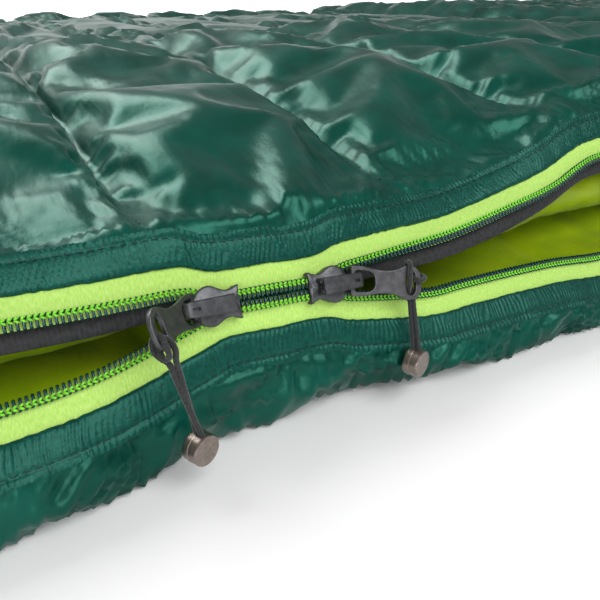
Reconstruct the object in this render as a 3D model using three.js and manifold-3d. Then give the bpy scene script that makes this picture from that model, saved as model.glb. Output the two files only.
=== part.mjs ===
// Camp quilt with a two-way side zip, folded lengthwise into a bag and lying on its lower panel.
// Millimetres, +Z up. +X runs to the foot end, the zip is along the -Y side, the floor is z = 0.
import * as THREE from 'three';
import { mergeVertices } from 'three/addons/utils/BufferGeometryUtils.js';
import Module from 'manifold-3d';

const wasm = await Module();
wasm.setup();

// ---- the quilt ----
const LENGTH = 2000;              // head end to foot end
const WIDTH = 780;                // zip's chain to the chain's mirror place on the far side
const BULGES_OUT = 24.1;          // how far the lower panel and the far side stand out past that
const CREST_Z = 84;               // top of the upper panel, away from the edges
const FABRIC = 1;                 // a shell or lining, drawn thick enough to be a solid
const GAP = 0.3;                  // between pieces that touch on the real quilt
const LOWER_LOFT = 26;            // underside to lower lining
const UPPER_LOFT = 32;            // upper lining to crest
const SEAM_Z = 44;                // height of the far side seam
const BINDING = 9;                // width of the bindings at the two ends
const TUBE_R = 7.5;               // draft tube behind the zip
const TUBE_SET_IN = 17.5;         // draft tube's centre behind the upper coil
const TUBE_Z = 34;
const ZIP_END = 24;               // bare quilt edge left beyond each end of the zip

// ---- the zip ----
const CHAIN_X = -11;              // middle of the closed stretch
const CHAIN_Z = 36;
const CHAIN_FALL = 0.0612;        // the edge falls toward the foot end by this slope
const CHAIN_FALL_LIMIT = 9;       // and levels out after falling this much
const CLOSED_HALF = 10.2;         // middle of the closed stretch to each slider's tail
const CHAIN_TILT = 65;            // degrees from level, where the chain is closed
const COIL_W = 2.7;
const COIL_H = 1.8;
const COIL_CLOSED = COIL_W / 2 + GAP;   // coil's middle to the chain's middle line
const TAPE_W = 12;
const TAPE_T = 0.6;
const TAPE_SHOWS = 5.5;           // tape between the coil and the gathered strip
const STRIP_W = 8;                // gathered strip, to its row of stitches
const STOP_L = 4;                 // end stop on each tape end

// ---- a slider, from its tail (s = 0) to its nose, w across and h above the tape ----
const BODY_L = 12.8;
const FLANGE_T = 0.7;
const TAIL_W = 2 * (COIL_CLOSED + COIL_W / 2 + 0.2 + FLANGE_T);
const BODY_W = TAIL_W + 2.6;
const WIDEST_S = 8;
const SPREAD = 0.9;               // how far the coils have parted at the body's widest place
const PLATE_T = 1.15;
const TOP_PLATE_H = COIL_H + TAPE_T / 2 + GAP + 0.35;
const BACK_PLATE_H = -TAPE_T / 2 - 0.45;
const POST_L = 3.2;
const POST_S = 10.6;
const POST_W = 2.8;
const BRIDGE_W = 4.8;
const BRIDGE_TAIL = 2.5;
const BRIDGE_NOSE = 16;
const BRIDGE_T = 1.5;
const BRIDGE_TOP = 7.5;
const FOOT_L = 2;                 // bridge's two feet on the body
const HOOK_L = 1.7;               // and the hook that closes it in front of the puller
const PIVOT_H = 4.95;
const CROSSBAR_R = 0.6;
const MOST_DROOP = 14;            // most degrees that a puller may hang to one side
const SKEW = (BRIDGE_W / 2) * Math.sin((MOST_DROOP * Math.PI) / 180);
const PIVOT_S = BRIDGE_NOSE - HOOK_L - CROSSBAR_R - SKEW - 0.22;   // middle of the puller's crossbar
const PULLER_T = 1.3;
const PULLER_L = 21.5;            // crossbar to the end of the eye
const WINDOW_L = 6.8;
const WINDOW_W = BRIDGE_W + 1.1;
const FLARE_W = 8.6;
const WAIST_W = 6.8;
const EYE_W = 9.6;
const EYE_SLOT_L = 3;
const EYE_SLOT_W = 7.2;
const EYE_BAR = 1.9;

// ---- the cords and their beads ----
const CORD_R = 0.7;
const CORD_SIDES = 8;
const CORD_FORWARD = 0.4;         // cord's top in front of the eye's corner
const STRANDS_APART = 1.75;
const BEAD_R = 4;
const BEAD_L = 5;
const BEAD_TURN = 22;             // degrees that the bead's axis turns toward the foot end

const rad = THREE.MathUtils.degToRad;
const v3 = (x, y, z) => new THREE.Vector3(x, y, z);
const EDGE_Y = -WIDTH / 2;
const FAR_Y = WIDTH / 2 + BULGES_OUT;
const SEAM_Y = FAR_Y - 3;
const NOSE_X = CLOSED_HALF + BODY_L;
const ZIP_X = LENGTH / 2 - ZIP_END;

// How far each coil's middle line lies from the chain's middle line, against distance along it.
// Inside and between the sliders both follow COIL_CLOSED and the slider's channel.
const OPENING = {
  upper: [[-960, 18], [-420, 12], [-200, 6], [-100, 4], [-63, 3.5], [-44, 3.5],
    [45, 6.1], [65, 8], [87, 12.1], [112, 17.6], [136, 25.6], [200, 30], [420, 24], [960, 6]],
  lower: [[-960, 20], [-420, 19], [-200, 18], [-100, 16], [-66, 14.2], [-46, 11],
    [51, 8.1], [62, 7.8], [83, 7.4], [107, 7.6], [128, 9], [200, 9], [420, 8], [960, 5]],
};
// Tilt of each tape from level, in degrees.
const TILT = {
  upper: [[-200, 55], [-60, 50], [-30, 62], [-22, CHAIN_TILT], [24, CHAIN_TILT], [34, 60], [60, 42],
    [90, 42], [115, 55], [200, 55]],
  lower: [[-200, 50], [-70, 45], [-34, 60], [-22, CHAIN_TILT], [22, CHAIN_TILT], [34, 60], [60, 50],
    [130, 46], [300, 50]],
};

// ---------------------------------------------------------------- smooth values along the zip
function along(keys, u) {
  const last = keys.length - 1;
  if (u <= keys[0][0]) return keys[0][1];
  if (u >= keys[last][0]) return keys[last][1];
  const i = keys.findIndex((key) => key[0] > u) - 1;
  const slope = (k) => {
    const a = keys[Math.max(k - 1, 0)];
    const b = keys[Math.min(k + 1, last)];
    return (b[1] - a[1]) / (b[0] - a[0]);
  };
  const [u0, v0] = keys[i];
  const [u1, v1] = keys[i + 1];
  const span = u1 - u0;
  const f = (u - u0) / span;
  const straight = (v1 - v0) / span;
  const lift = f * (1 - f) * span;
  return v0 + (v1 - v0) * f + lift * ((1 - f) * (slope(i) - straight) - f * (slope(i + 1) - straight));
}

function channel(sideName) {
  const pastPost = POST_W / 2 + COIL_W / 2 + 2 * GAP;
  const near = [[-NOSE_X, pastPost + 0.75], [-CLOSED_HALF - 10.4, pastPost],
    [-CLOSED_HALF - 8, COIL_CLOSED + SPREAD], [-CLOSED_HALF - 3.6, COIL_CLOSED]];
  const mirrored = near.map(([u, w]) => [-u, w]).reverse();
  const far = OPENING[sideName];
  const before = far.filter(([u]) => u < -NOSE_X);
  const after = far.filter(([u]) => u > NOSE_X);
  return [...before, ...near, [0, COIL_CLOSED], ...mirrored, ...after];
}

const COIL_OFFSET = { upper: channel('upper'), lower: channel('lower') };
const SIGN = { upper: 1, lower: -1 };

function chainPoint(x) {
  const fall = CHAIN_FALL_LIMIT * Math.tanh(((x - CHAIN_X) * CHAIN_FALL) / CHAIN_FALL_LIMIT);
  return v3(x, EDGE_Y, CHAIN_Z - fall);
}

function tiltVector(degrees) {
  return v3(0, Math.cos(rad(degrees)), Math.sin(rad(degrees)));
}

function coilPoint(sideName, x) {
  const offset = along(COIL_OFFSET[sideName], x - CHAIN_X) * SIGN[sideName];
  return chainPoint(x).addScaledVector(tiltVector(CHAIN_TILT), offset);
}

// A point on or near a tape: across is measured from the coil's middle, height from the tape's.
function edgePoint(sideName, x, across, height) {
  const tilt = along(TILT[sideName], x - CHAIN_X);
  const out = tiltVector(tilt).multiplyScalar(SIGN[sideName] * across);
  const up = v3(0, -Math.sin(rad(tilt)), Math.cos(rad(tilt))).multiplyScalar(height);
  return coilPoint(sideName, x).add(out).add(up);
}

// ---------------------------------------------------------------- solids from grids and outlines
function solidFrom(points, triangles) {
  const geometry = new THREE.BufferGeometry();
  const flat = points.flatMap((p) => [p.x, p.y, p.z]);
  geometry.setAttribute('position', new THREE.Float32BufferAttribute(flat, 3));
  let volume = 0;
  for (const [a, b, c] of triangles) {
    volume += points[a].dot(points[b].clone().cross(points[c]));
  }
  const index = volume < 0 ? triangles.map(([a, b, c]) => [a, c, b]) : triangles;
  geometry.setIndex(index.flat());
  geometry.computeVertexNormals();
  return geometry;
}

// A sheet or slab between two grids of points of the same size.
function slab(front, back) {
  const rows = front.length;
  const cols = front[0].length;
  const points = [...front.flat(), ...back.flat()];
  const at = (layer, i, j) => layer * rows * cols + i * cols + j;
  const triangles = [];
  const quad = (a, b, c, d) => triangles.push([a, b, c], [a, c, d]);
  for (let i = 0; i < rows - 1; i += 1) {
    for (let j = 0; j < cols - 1; j += 1) {
      quad(at(0, i, j), at(0, i + 1, j), at(0, i + 1, j + 1), at(0, i, j + 1));
      quad(at(1, i, j), at(1, i, j + 1), at(1, i + 1, j + 1), at(1, i + 1, j));
    }
    quad(at(0, i, 0), at(1, i, 0), at(1, i + 1, 0), at(0, i + 1, 0));
    quad(at(0, i, cols - 1), at(0, i + 1, cols - 1), at(1, i + 1, cols - 1), at(1, i, cols - 1));
  }
  for (let j = 0; j < cols - 1; j += 1) {
    quad(at(0, 0, j), at(0, 0, j + 1), at(1, 0, j + 1), at(1, 0, j));
    quad(at(0, rows - 1, j), at(1, rows - 1, j), at(1, rows - 1, j + 1), at(0, rows - 1, j + 1));
  }
  return solidFrom(points, triangles);
}

// A solid through a row of closed rings, capped by fans.
function rod(rings) {
  const n = rings[0].length;
  const points = rings.flat();
  const triangles = [];
  for (let i = 0; i < rings.length - 1; i += 1) {
    for (let j = 0; j < n; j += 1) {
      const k = (j + 1) % n;
      triangles.push([i * n + j, (i + 1) * n + j, (i + 1) * n + k]);
      triangles.push([i * n + j, (i + 1) * n + k, i * n + k]);
    }
  }
  const end = (rings.length - 1) * n;
  for (let j = 1; j < n - 1; j += 1) {
    triangles.push([0, j, j + 1]);
    triangles.push([end, end + j + 1, end + j]);
  }
  return solidFrom(points, triangles);
}

function toManifold(geometry) {
  const bare = geometry.clone();
  bare.deleteAttribute('normal');
  bare.deleteAttribute('uv');
  const merged = mergeVertices(bare, 1e-4);
  const vertProperties = new Float32Array(merged.attributes.position.array);
  const triVerts = new Uint32Array(merged.index.array);
  return new wasm.Manifold(new wasm.Mesh({ numProp: 3, vertProperties, triVerts }));
}

function fromManifold(solid) {
  const mesh = solid.getMesh();
  const geometry = new THREE.BufferGeometry();
  geometry.setAttribute('position', new THREE.BufferAttribute(mesh.vertProperties.slice(), 3));
  geometry.setIndex(new THREE.BufferAttribute(mesh.triVerts.slice(), 1));
  geometry.computeVertexNormals();
  return geometry;
}

function box(x0, x1, y0, y1, z0, z1) {
  const geometry = new THREE.BoxGeometry(x1 - x0, y1 - y0, z1 - z0);
  return geometry.translate((x0 + x1) / 2, (y0 + y1) / 2, (z0 + z1) / 2);
}

function plate(shape, z0, z1) {
  const geometry = new THREE.ExtrudeGeometry(shape, { depth: z1 - z0, bevelEnabled: false, curveSegments: 6 });
  return geometry.translate(0, 0, z0);
}

const mesh = (name, geometry, material) => {
  const piece = new THREE.Mesh(geometry, material);
  piece.name = name;
  return piece;
};
const finish = (color, roughness, metalness = 0) => (
  new THREE.MeshStandardMaterial({ color, roughness, metalness })
);

const MATERIAL = {
  shell: finish(0x05483a, 0.35),
  fill: finish(0xe6e4dc, 0.95),
  lining: finish(0x95b301, 0.5),
  gather: finish(0x1d5e50, 0.45),
  facing: finish(0x2b2c2e, 0.7),
  tape: finish(0xc4ea80, 0.8),
  coil: finish(0x0f4641, 0.3),
  binding: finish(0x0a3f34, 0.6),
  stop: finish(0x4b4d4e, 0.35, 1),
  slider: finish(0x4b4d4e, 0.35, 1),
  spring: finish(0x2e2f30, 0.4, 1),
  puller: finish(0x4f4e51, 0.35, 1),
  cord: finish(0x212327, 0.85),
  bead: finish(0x99897f, 0.25, 1),
};

const group = new THREE.Group();
const add = (...pieces) => group.add(...pieces);

// ---------------------------------------------------------------- soft pieces along the zip
// Stations are close together at the sliders and the open stretches beside them.
function stations(from, to, steps) {
  const count = Math.max(1, Math.round((to - from) / steps));
  return Array.from({ length: count }, (_, i) => from + ((to - from) * i) / count);
}

function zipStations(end) {
  return [...stations(-end, -320, 110), ...stations(-320, -100, 44), ...stations(-100, -36, 10),
    ...stations(-36, 16, 3.2), ...stations(16, 150, 9), ...stations(150, 340, 38),
    ...stations(340, end, 110), end];
}

const EDGE_X = zipStations(ZIP_X);
const PANEL_END = LENGTH / 2 - BINDING - GAP;
const PANEL_X = [...stations(-PANEL_END, -250, 150), ...stations(-250, -90, 40),
  ...stations(-90, 170, 20), ...stations(170, 330, 53), ...stations(330, PANEL_END, 150), PANEL_END];

function band(sideName, xs, path, thickness) {
  const line = (x, lower) => path.map(([across, height]) => edgePoint(sideName, x, across, height - lower));
  return slab(xs.map((x) => line(x, 0)), xs.map((x) => line(x, thickness)));
}

const TAPE_FROM = -COIL_CLOSED + 0.5;
const STRIP_FROM = COIL_W / 2 + TAPE_SHOWS;
const STRIP_TO = STRIP_FROM + STRIP_W;
const STRIP_TOP = TAPE_T / 2 + GAP + FABRIC;
const LINING_FROM = STRIP_FROM + 1;
const LINING_TO = TAPE_FROM + TAPE_W + 2;
const LINING_TOP = -TAPE_T / 2 - GAP - 0.15;
const COIL_BOTTOM = TAPE_T / 2 + GAP;

function tape(sideName) {
  const path = [[TAPE_FROM, TAPE_T / 2], [TAPE_FROM + TAPE_W, TAPE_T / 2]];
  return mesh(`${sideName}_tape`, band(sideName, EDGE_X, path, TAPE_T), MATERIAL.tape);
}

function coil(sideName) {
  const xs = EDGE_X.filter((x) => Math.abs(x) < ZIP_X - STOP_L - GAP);
  const path = [[-COIL_W / 2, COIL_BOTTOM + COIL_H], [COIL_W / 2, COIL_BOTTOM + COIL_H]];
  return mesh(`${sideName}_coil`, band(sideName, xs, path, COIL_H), MATERIAL.coil);
}

function gatherStrip(sideName) {
  const path = [[STRIP_FROM, STRIP_TOP], [STRIP_TO, STRIP_TOP]];
  return mesh(`${sideName}_gather_strip`, band(sideName, EDGE_X, path, FABRIC), MATERIAL.gather);
}

// The facing behind the upper tape steps back behind the sliders, then turns in toward the tube.
function antiSnagStrip() {
  const back = BACK_PLATE_H - PLATE_T - GAP;
  const path = [[-5, back - 1.2], [-1, back - 0.4], [3.9, back], [5.4, LINING_TOP - 0.4]];
  return mesh('anti_snag_strip', band('upper', EDGE_X, path, FABRIC), MATERIAL.facing);
}

function endStop(sideName, end, sign) {
  const xs = [sign * (ZIP_X - STOP_L), sign * ZIP_X];
  const path = [[-COIL_W / 2, COIL_BOTTOM + COIL_H], [COIL_W / 2, COIL_BOTTOM + COIL_H]];
  return mesh(`${sideName}_${end}_stop`, band(sideName, xs, path, COIL_H), MATERIAL.stop);
}

for (const sideName of ['upper', 'lower']) {
  add(tape(sideName), coil(sideName), gatherStrip(sideName));
  add(endStop(sideName, 'head', -1), endStop(sideName, 'foot', 1));
}
add(antiSnagStrip());

function draftTube() {
  const sides = 12;
  const ring = (x) => {
    const y = coilPoint('upper', x).y + TUBE_SET_IN;
    return Array.from({ length: sides }, (_, k) => {
      const a = (2 * Math.PI * k) / sides;
      return v3(x, y + TUBE_R * Math.cos(a), TUBE_Z + TUBE_R * Math.sin(a));
    });
  };
  const xs = PANEL_X.filter((x) => Math.abs(x) < ZIP_X);
  return mesh('draft_tube', rod(xs.map(ring)), MATERIAL.lining);
}
add(draftTube());

// ---------------------------------------------------------------- the two panels
// Each layer is a line across the quilt at one x, from the zip edge to the far side seam.
function sampled(controls, count) {
  const curve = new THREE.CatmullRomCurve3(controls, false, 'centripetal');
  return Array.from({ length: count + 1 }, (_, i) => curve.getPoint(i / count));
}

const ACROSS = 12;
const BULGE = 9;                  // how far the lower panel stands out below the zip
const SHELL_FROM = STRIP_TO + 1.6;
const FILL_GAP = 0.6;

function lowerShellLine(x, inset) {
  const start = edgePoint('lower', x, SHELL_FROM, STRIP_TOP - inset);
  const outermost = Math.min(EDGE_Y - BULGE, start.y - 1.5 + inset * 0.4);
  const bulge = v3(x, outermost + inset * 0.9, 1 + start.z * 0.5);
  const turn = v3(x, outermost + 4 + inset * 0.7, 2.2 + inset * 0.7);
  const side = [start, bulge, turn];
  const flat = [v3(x, EDGE_Y + 7, inset), v3(x, EDGE_Y + 150, inset), v3(x, 0, inset),
    v3(x, SEAM_Y - 40, inset)];
  const rise = [v3(x, SEAM_Y - 8, 2 + inset), v3(x, SEAM_Y - inset, 16), v3(x, SEAM_Y - inset, SEAM_Z - 8)];
  return [...sampled(side, 4), ...flat, ...sampled(rise, ACROSS - 9)];
}

function lowerLiningLine(x, lower) {
  const edge = edgePoint('lower', x, LINING_FROM, LINING_TOP - lower);
  const start = edgePoint('lower', x, LINING_TO, LINING_TOP - lower);
  const sag = Math.min(LOWER_LOFT - 1.5, start.z) - lower;
  const controls = [start, v3(x, EDGE_Y + 8, sag), v3(x, EDGE_Y + 30, sag), v3(x, EDGE_Y + 90, LOWER_LOFT + 2 - lower),
    v3(x, 0, LOWER_LOFT + 3 - lower), v3(x, SEAM_Y - 60, LOWER_LOFT + 4 - lower),
    v3(x, SEAM_Y - 24 - lower, SEAM_Z - 9 - lower)];
  return [edge, ...sampled(controls, ACROSS)];
}

function upperShellLine(x, inset) {
  const start = edgePoint('upper', x, SHELL_FROM, STRIP_TOP - inset);
  const run = (dy, z) => v3(x, EDGE_Y + dy, Math.max(z, Math.min(start.z + dy * 0.12, CREST_Z - 2)) - inset);
  const controls = [start, run(26, 57), run(58, 66), run(120, 76), run(230, CREST_Z - 2),
    v3(x, 60, CREST_Z - inset), v3(x, SEAM_Y - 90, CREST_Z - 8 - inset), v3(x, SEAM_Y - 26, 68 - inset),
    v3(x, SEAM_Y - inset, SEAM_Z + 2)];
  return sampled(controls, ACROSS);
}

function upperLiningLine(x, lower) {
  const edge = edgePoint('upper', x, LINING_FROM, LINING_TOP - lower);
  const start = edgePoint('upper', x, LINING_TO, LINING_TOP - lower);
  const hang = Math.max(start.z, TUBE_Z + TUBE_R + 3);
  const floor = Math.max(TUBE_Z + TUBE_R + 1, start.z - 1) - lower;
  const controls = [start, v3(x, start.y + 6, hang - lower), v3(x, start.y + 22, floor + 1),
    v3(x, EDGE_Y + 90, CREST_Z - UPPER_LOFT - 6 - lower), v3(x, 0, CREST_Z - UPPER_LOFT - lower),
    v3(x, SEAM_Y - 60, CREST_Z - UPPER_LOFT - 2 - lower), v3(x, SEAM_Y - 24 - lower, SEAM_Z + 4 - lower)];
  return [edge, ...sampled(controls, ACROSS)];
}

function layer(name, line, outer, inner, material) {
  return mesh(name, slab(PANEL_X.map((x) => line(x, outer)), PANEL_X.map((x) => line(x, inner))), material);
}

// The fill starts behind the gathered strip and keeps clear of both fabrics.
function fillBetween(name, shellLine, liningLine, liningFace) {
  const outer = PANEL_X.map((x) => shellLine(x, FABRIC + FILL_GAP));
  const inner = PANEL_X.map((x) => liningLine(x, liningFace).slice(1));
  return mesh(name, slab(outer, inner), MATERIAL.fill);
}

add(layer('lower_shell', lowerShellLine, 0, FABRIC, MATERIAL.shell));
add(layer('lower_lining', lowerLiningLine, 0, FABRIC, MATERIAL.lining));
add(fillBetween('lower_fill', lowerShellLine, lowerLiningLine, FABRIC + FILL_GAP));
add(layer('upper_shell', upperShellLine, 0, FABRIC, MATERIAL.shell));
add(layer('upper_lining', upperLiningLine, 0, FABRIC, MATERIAL.lining));
add(fillBetween('upper_fill', upperShellLine, upperLiningLine, -FILL_GAP));

// The upper and lower shells are joined along the far side.
function sideSeam() {
  const low = SEAM_Z - 8 + GAP;
  const high = SEAM_Z + 2 - GAP;
  return mesh('side_seam', box(-PANEL_END, PANEL_END, SEAM_Y - 1, FAR_Y, low, high), MATERIAL.binding);
}
add(sideSeam());

// A wall across an end of the quilt, of the outline that the given points make in the YZ plane.
function endWall(name, outline, x0, x1, material) {
  const shape = new THREE.Shape(outline.map((p) => new THREE.Vector2(p.y, p.z)));
  const geometry = plate(shape, x0, x1);
  geometry.applyMatrix4(new THREE.Matrix4().makeBasis(v3(0, 1, 0), v3(0, 0, 1), v3(1, 0, 0)));
  return mesh(name, geometry, material);
}

const END_X = LENGTH / 2;
const WALL_X = PANEL_END + GAP;
add(endWall('foot_panel', [...lowerShellLine(PANEL_END, 0), ...upperShellLine(PANEL_END, 0).reverse()],
  WALL_X, END_X, MATERIAL.shell));
add(endWall('upper_head_binding', [...upperLiningLine(-PANEL_END, FABRIC).slice(1),
  ...upperShellLine(-PANEL_END, 0).reverse()], -END_X, -WALL_X, MATERIAL.binding));
add(endWall('lower_head_binding', [...lowerShellLine(-PANEL_END, 0),
  ...lowerLiningLine(-PANEL_END, 0).slice(1).reverse()], -END_X, -WALL_X, MATERIAL.binding));

// ---------------------------------------------------------------- sliders
// A slider's own axes: x from tail to nose, y across, z out from the tape.
function smoothOutline(points) {
  const shape = new THREE.Shape();
  shape.moveTo(...points[0]);
  for (const point of points.slice(1)) {
    if (point.length === 2) shape.lineTo(...point);
    else shape.quadraticCurveTo(...point);
  }
  shape.closePath();
  return shape;
}

function bodyOutline(inset) {
  const tail = TAIL_W / 2 - inset;
  const wide = BODY_W / 2 - inset;
  const nose = BODY_L - inset;
  return smoothOutline([[inset, -tail], [WIDEST_S * 0.45, -tail - 0.1], [WIDEST_S, -wide],
    [nose - 0.2, -wide * 0.82, nose, 0], [nose - 0.2, wide * 0.82, WIDEST_S, wide],
    [WIDEST_S * 0.45, tail + 0.1], [inset, tail]]);
}

function postOutline() {
  const tip = POST_S - POST_L / 2;
  const end = POST_S + POST_L / 2;
  return smoothOutline([[tip, 0], [POST_S, -POST_W / 2], [end, -POST_W * 0.3], [end, POST_W * 0.3],
    [POST_S, POST_W / 2]]);
}

const BRIDGE_FOOT_H = TOP_PLATE_H + PLATE_T + GAP;
const LOCK_SLOT = { s0: 4.9, s1: 6.5, w: 1.1 };

function sliderBody() {
  const flange = toManifold(plate(bodyOutline(0), COIL_BOTTOM, TOP_PLATE_H + 0.2))
    .subtract(toManifold(plate(bodyOutline(FLANGE_T), 0, TOP_PLATE_H + 1)))
    .subtract(toManifold(box(-1, FLANGE_T + 0.05, -TAIL_W, TAIL_W, 0, TOP_PLATE_H + 1)))
    .subtract(toManifold(box(WIDEST_S + 0.6, BODY_L + 1, -BODY_W, BODY_W, 0, TOP_PLATE_H + 1)));
  const top = toManifold(plate(bodyOutline(0), TOP_PLATE_H, TOP_PLATE_H + PLATE_T));
  const back = toManifold(plate(bodyOutline(0), BACK_PLATE_H - PLATE_T, BACK_PLATE_H));
  const post = toManifold(plate(postOutline(), BACK_PLATE_H - 0.2, TOP_PLATE_H + 0.2));
  const slot = toManifold(box(LOCK_SLOT.s0, LOCK_SLOT.s1, -LOCK_SLOT.w, LOCK_SLOT.w, 1, TOP_PLATE_H + 3));
  return fromManifold(top.add(back).add(post).add(flange).subtract(slot));
}

// The bridge is a bar on two feet, with a hook at its nose end that keeps the puller on.
function sliderBridge() {
  const half = BRIDGE_W / 2;
  const soffit = BRIDGE_TOP - BRIDGE_T;
  const bar = toManifold(box(BRIDGE_TAIL, BRIDGE_NOSE, -half, half, soffit, BRIDGE_TOP));
  const cheeks = toManifold(box(BRIDGE_TAIL, BRIDGE_TAIL + FOOT_L, -half, half, BRIDGE_FOOT_H, soffit + 0.2))
    .subtract(toManifold(box(BRIDGE_TAIL - 1, BRIDGE_TAIL + 5, -1.4, 1.4, BRIDGE_FOOT_H - 1, soffit)));
  const foot = toManifold(box(WIDEST_S + 1.2, WIDEST_S + 1.2 + FOOT_L, -half, half, BRIDGE_FOOT_H, soffit + 0.2));
  const hook = toManifold(box(BRIDGE_NOSE - HOOK_L, BRIDGE_NOSE, -half, half, BRIDGE_FOOT_H - 0.3, soffit + 0.2));
  const round = toManifold(box(BRIDGE_NOSE - 1, BRIDGE_NOSE + 1, -half - 1, half + 1, 0, 0.9))
    .rotate([0, 45, 0]).translate([3.3, 0, BRIDGE_TOP + BRIDGE_NOSE * 0.7]);
  return fromManifold(bar.add(cheeks).add(foot).add(hook).subtract(round));
}

// The lock is a bent leaf: its back end sits under the bar and its tooth reaches into the coil.
const LOCK_T = 0.5;
const LOCK_LIFT = 0.7;            // room for the leaf to lift under the bar
function sliderLock() {
  const top = BRIDGE_TOP - BRIDGE_T - LOCK_LIFT;
  const leaf = toManifold(box(BRIDGE_TAIL + 0.4, WIDEST_S + 0.8, -0.9, 0.9, top - LOCK_T, top));
  const tooth = toManifold(box(LOCK_SLOT.s0 + 0.45, LOCK_SLOT.s1 - 0.45, -0.7, 0.7, TOP_PLATE_H - 0.05, top - 0.2));
  return fromManifold(leaf.add(tooth));
}

function pullerOutline() {
  const flare = FLARE_W / 2;
  const waist = WAIST_W / 2;
  const eye = EYE_W / 2;
  const neck = PULLER_L * 0.52;
  return smoothOutline([[-CROSSBAR_R, -flare], [WINDOW_L * 0.5, -flare], [neck, -waist],
    [PULLER_L * 0.72, -waist - 0.2, PULLER_L * 0.82, -eye], [PULLER_L, -eye, PULLER_L, 0],
    [PULLER_L, eye, PULLER_L * 0.82, eye], [PULLER_L * 0.72, waist + 0.2, neck, waist],
    [WINDOW_L * 0.5, flare], [-CROSSBAR_R, flare]]);
}

// The puller's own axes: origin at its crossbar, x along it, y across, z out of its face.
function puller() {
  const half = PULLER_T / 2;
  const blank = toManifold(plate(pullerOutline(), -half, half));
  const window = toManifold(box(CROSSBAR_R, WINDOW_L, -WINDOW_W / 2, WINDOW_W / 2, -2, 2));
  const slotEnd = PULLER_L - EYE_BAR;
  const slot = toManifold(box(slotEnd - EYE_SLOT_L, slotEnd, -EYE_SLOT_W / 2, EYE_SLOT_W / 2, -2, 2));
  return fromManifold(blank.subtract(window).subtract(slot));
}

const chainDown = Math.atan(CHAIN_FALL);
const ALONG = v3(Math.cos(chainDown), 0, -Math.sin(chainDown));
const OUT = v3(0, -Math.sin(rad(CHAIN_TILT)), Math.cos(rad(CHAIN_TILT)));
const ACROSS_CHAIN = OUT.clone().cross(ALONG).normalize();
const FACE = ALONG.clone().cross(ACROSS_CHAIN);

// Rest poses: how far each puller is lifted off the zip and droops to one side, in degrees, the length
// of its cord's strands below the eye, and how far the quilt's edge pushes the bead out.
const SLIDERS = {
  left: { nose: -1, lift: 44, droop: 11, strand: 20, lean: v3(5, -1.5, 0) },
  right: { nose: 1, lift: 8, droop: 11, strand: 9, lean: v3(-2.5, -7, 0) },
};

function sliderFrame(nose) {
  const x = ALONG.clone().multiplyScalar(nose);
  const y = ACROSS_CHAIN.clone().multiplyScalar(nose);
  const origin = chainPoint(CHAIN_X).addScaledVector(x, CLOSED_HALF);
  return new THREE.Matrix4().makeBasis(x, y, FACE).setPosition(origin);
}

function pullerFrame({ nose, lift, droop }) {
  const body = sliderFrame(nose);
  const flat = ALONG.clone().multiplyScalar(nose * Math.cos(rad(droop)))
    .addScaledVector(ACROSS_CHAIN, -Math.sin(rad(droop)));
  const across = FACE.clone().cross(flat);
  const x = flat.clone().multiplyScalar(Math.cos(rad(lift))).addScaledVector(FACE, Math.sin(rad(lift)));
  const origin = v3(PIVOT_S, 0, PIVOT_H).applyMatrix4(body);
  return new THREE.Matrix4().makeBasis(x, across, x.clone().cross(across)).setPosition(origin);
}

// ---------------------------------------------------------------- cords and beads
// The cord hangs from the lowest corner of the puller's eye as two strands, and both enter the bead.
function cordTop(setup) {
  const down = setup.nose > 0 ? -1 : 1;
  const frame = pullerFrame(setup);
  const corner = v3(PULLER_L - EYE_BAR - EYE_SLOT_L / 2, down * (EYE_W / 2), 0).applyMatrix4(frame);
  return corner.add(v3(0, -CORD_FORWARD, -CORD_R - 1));
}

const BEAD_AXIS = v3(Math.sin(rad(BEAD_TURN)), -Math.cos(rad(BEAD_TURN)), 0);

function cord(setup) {
  const top = cordTop(setup);
  const half = STRANDS_APART / 2;
  const points = [];
  const steps = Math.ceil(setup.strand / 4);
  for (let i = 0; i <= steps; i += 1) points.push([-half, -setup.strand + (i * setup.strand) / steps]);
  for (let i = 1; i < 4; i += 1) {
    const a = Math.PI - (i * Math.PI) / 4;
    points.push([half * Math.cos(a), half * Math.sin(a)]);
  }
  for (let i = steps; i >= 0; i -= 1) points.push([half, -setup.strand + (i * setup.strand) / steps]);
  const path = points.map(([w, z]) => top.clone().addScaledVector(BEAD_AXIS, w)
    .addScaledVector(setup.lean, Math.max(-z, 0) / setup.strand).add(v3(0, 0, z - half)));
  const across = v3(BEAD_AXIS.y, -BEAD_AXIS.x, 0);
  const rings = path.map((p, i) => {
    const from = path[Math.max(i - 1, 0)];
    const to = path[Math.min(i + 1, path.length - 1)];
    const direction = to.clone().sub(from).normalize();
    const side = direction.clone().cross(across).normalize();
    return Array.from({ length: CORD_SIDES }, (_, k) => {
      const a = (2 * Math.PI * k) / CORD_SIDES;
      return p.clone().addScaledVector(side, CORD_R * Math.cos(a)).addScaledVector(across, CORD_R * Math.sin(a));
    });
  });
  return rod(rings);
}

function bead(setup) {
  const half = BEAD_L / 2;
  const edge = 0.4;
  const profile = [[0, -half], [BEAD_R - edge, -half], [BEAD_R, -half + edge], [BEAD_R, half - edge],
    [BEAD_R - edge, half], [0, half]].map(([r, y]) => new THREE.Vector2(r, y));
  const geometry = new THREE.LatheGeometry(profile, 24);
  const turn = new THREE.Quaternion().setFromUnitVectors(v3(0, 1, 0), BEAD_AXIS);
  const drop = STRANDS_APART / 2 + setup.strand + GAP + BEAD_R;
  const middle = cordTop(setup).add(setup.lean).add(v3(0, 0, -drop));
  geometry.applyQuaternion(turn).translate(middle.x, middle.y, middle.z);
  return geometry;
}

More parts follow.
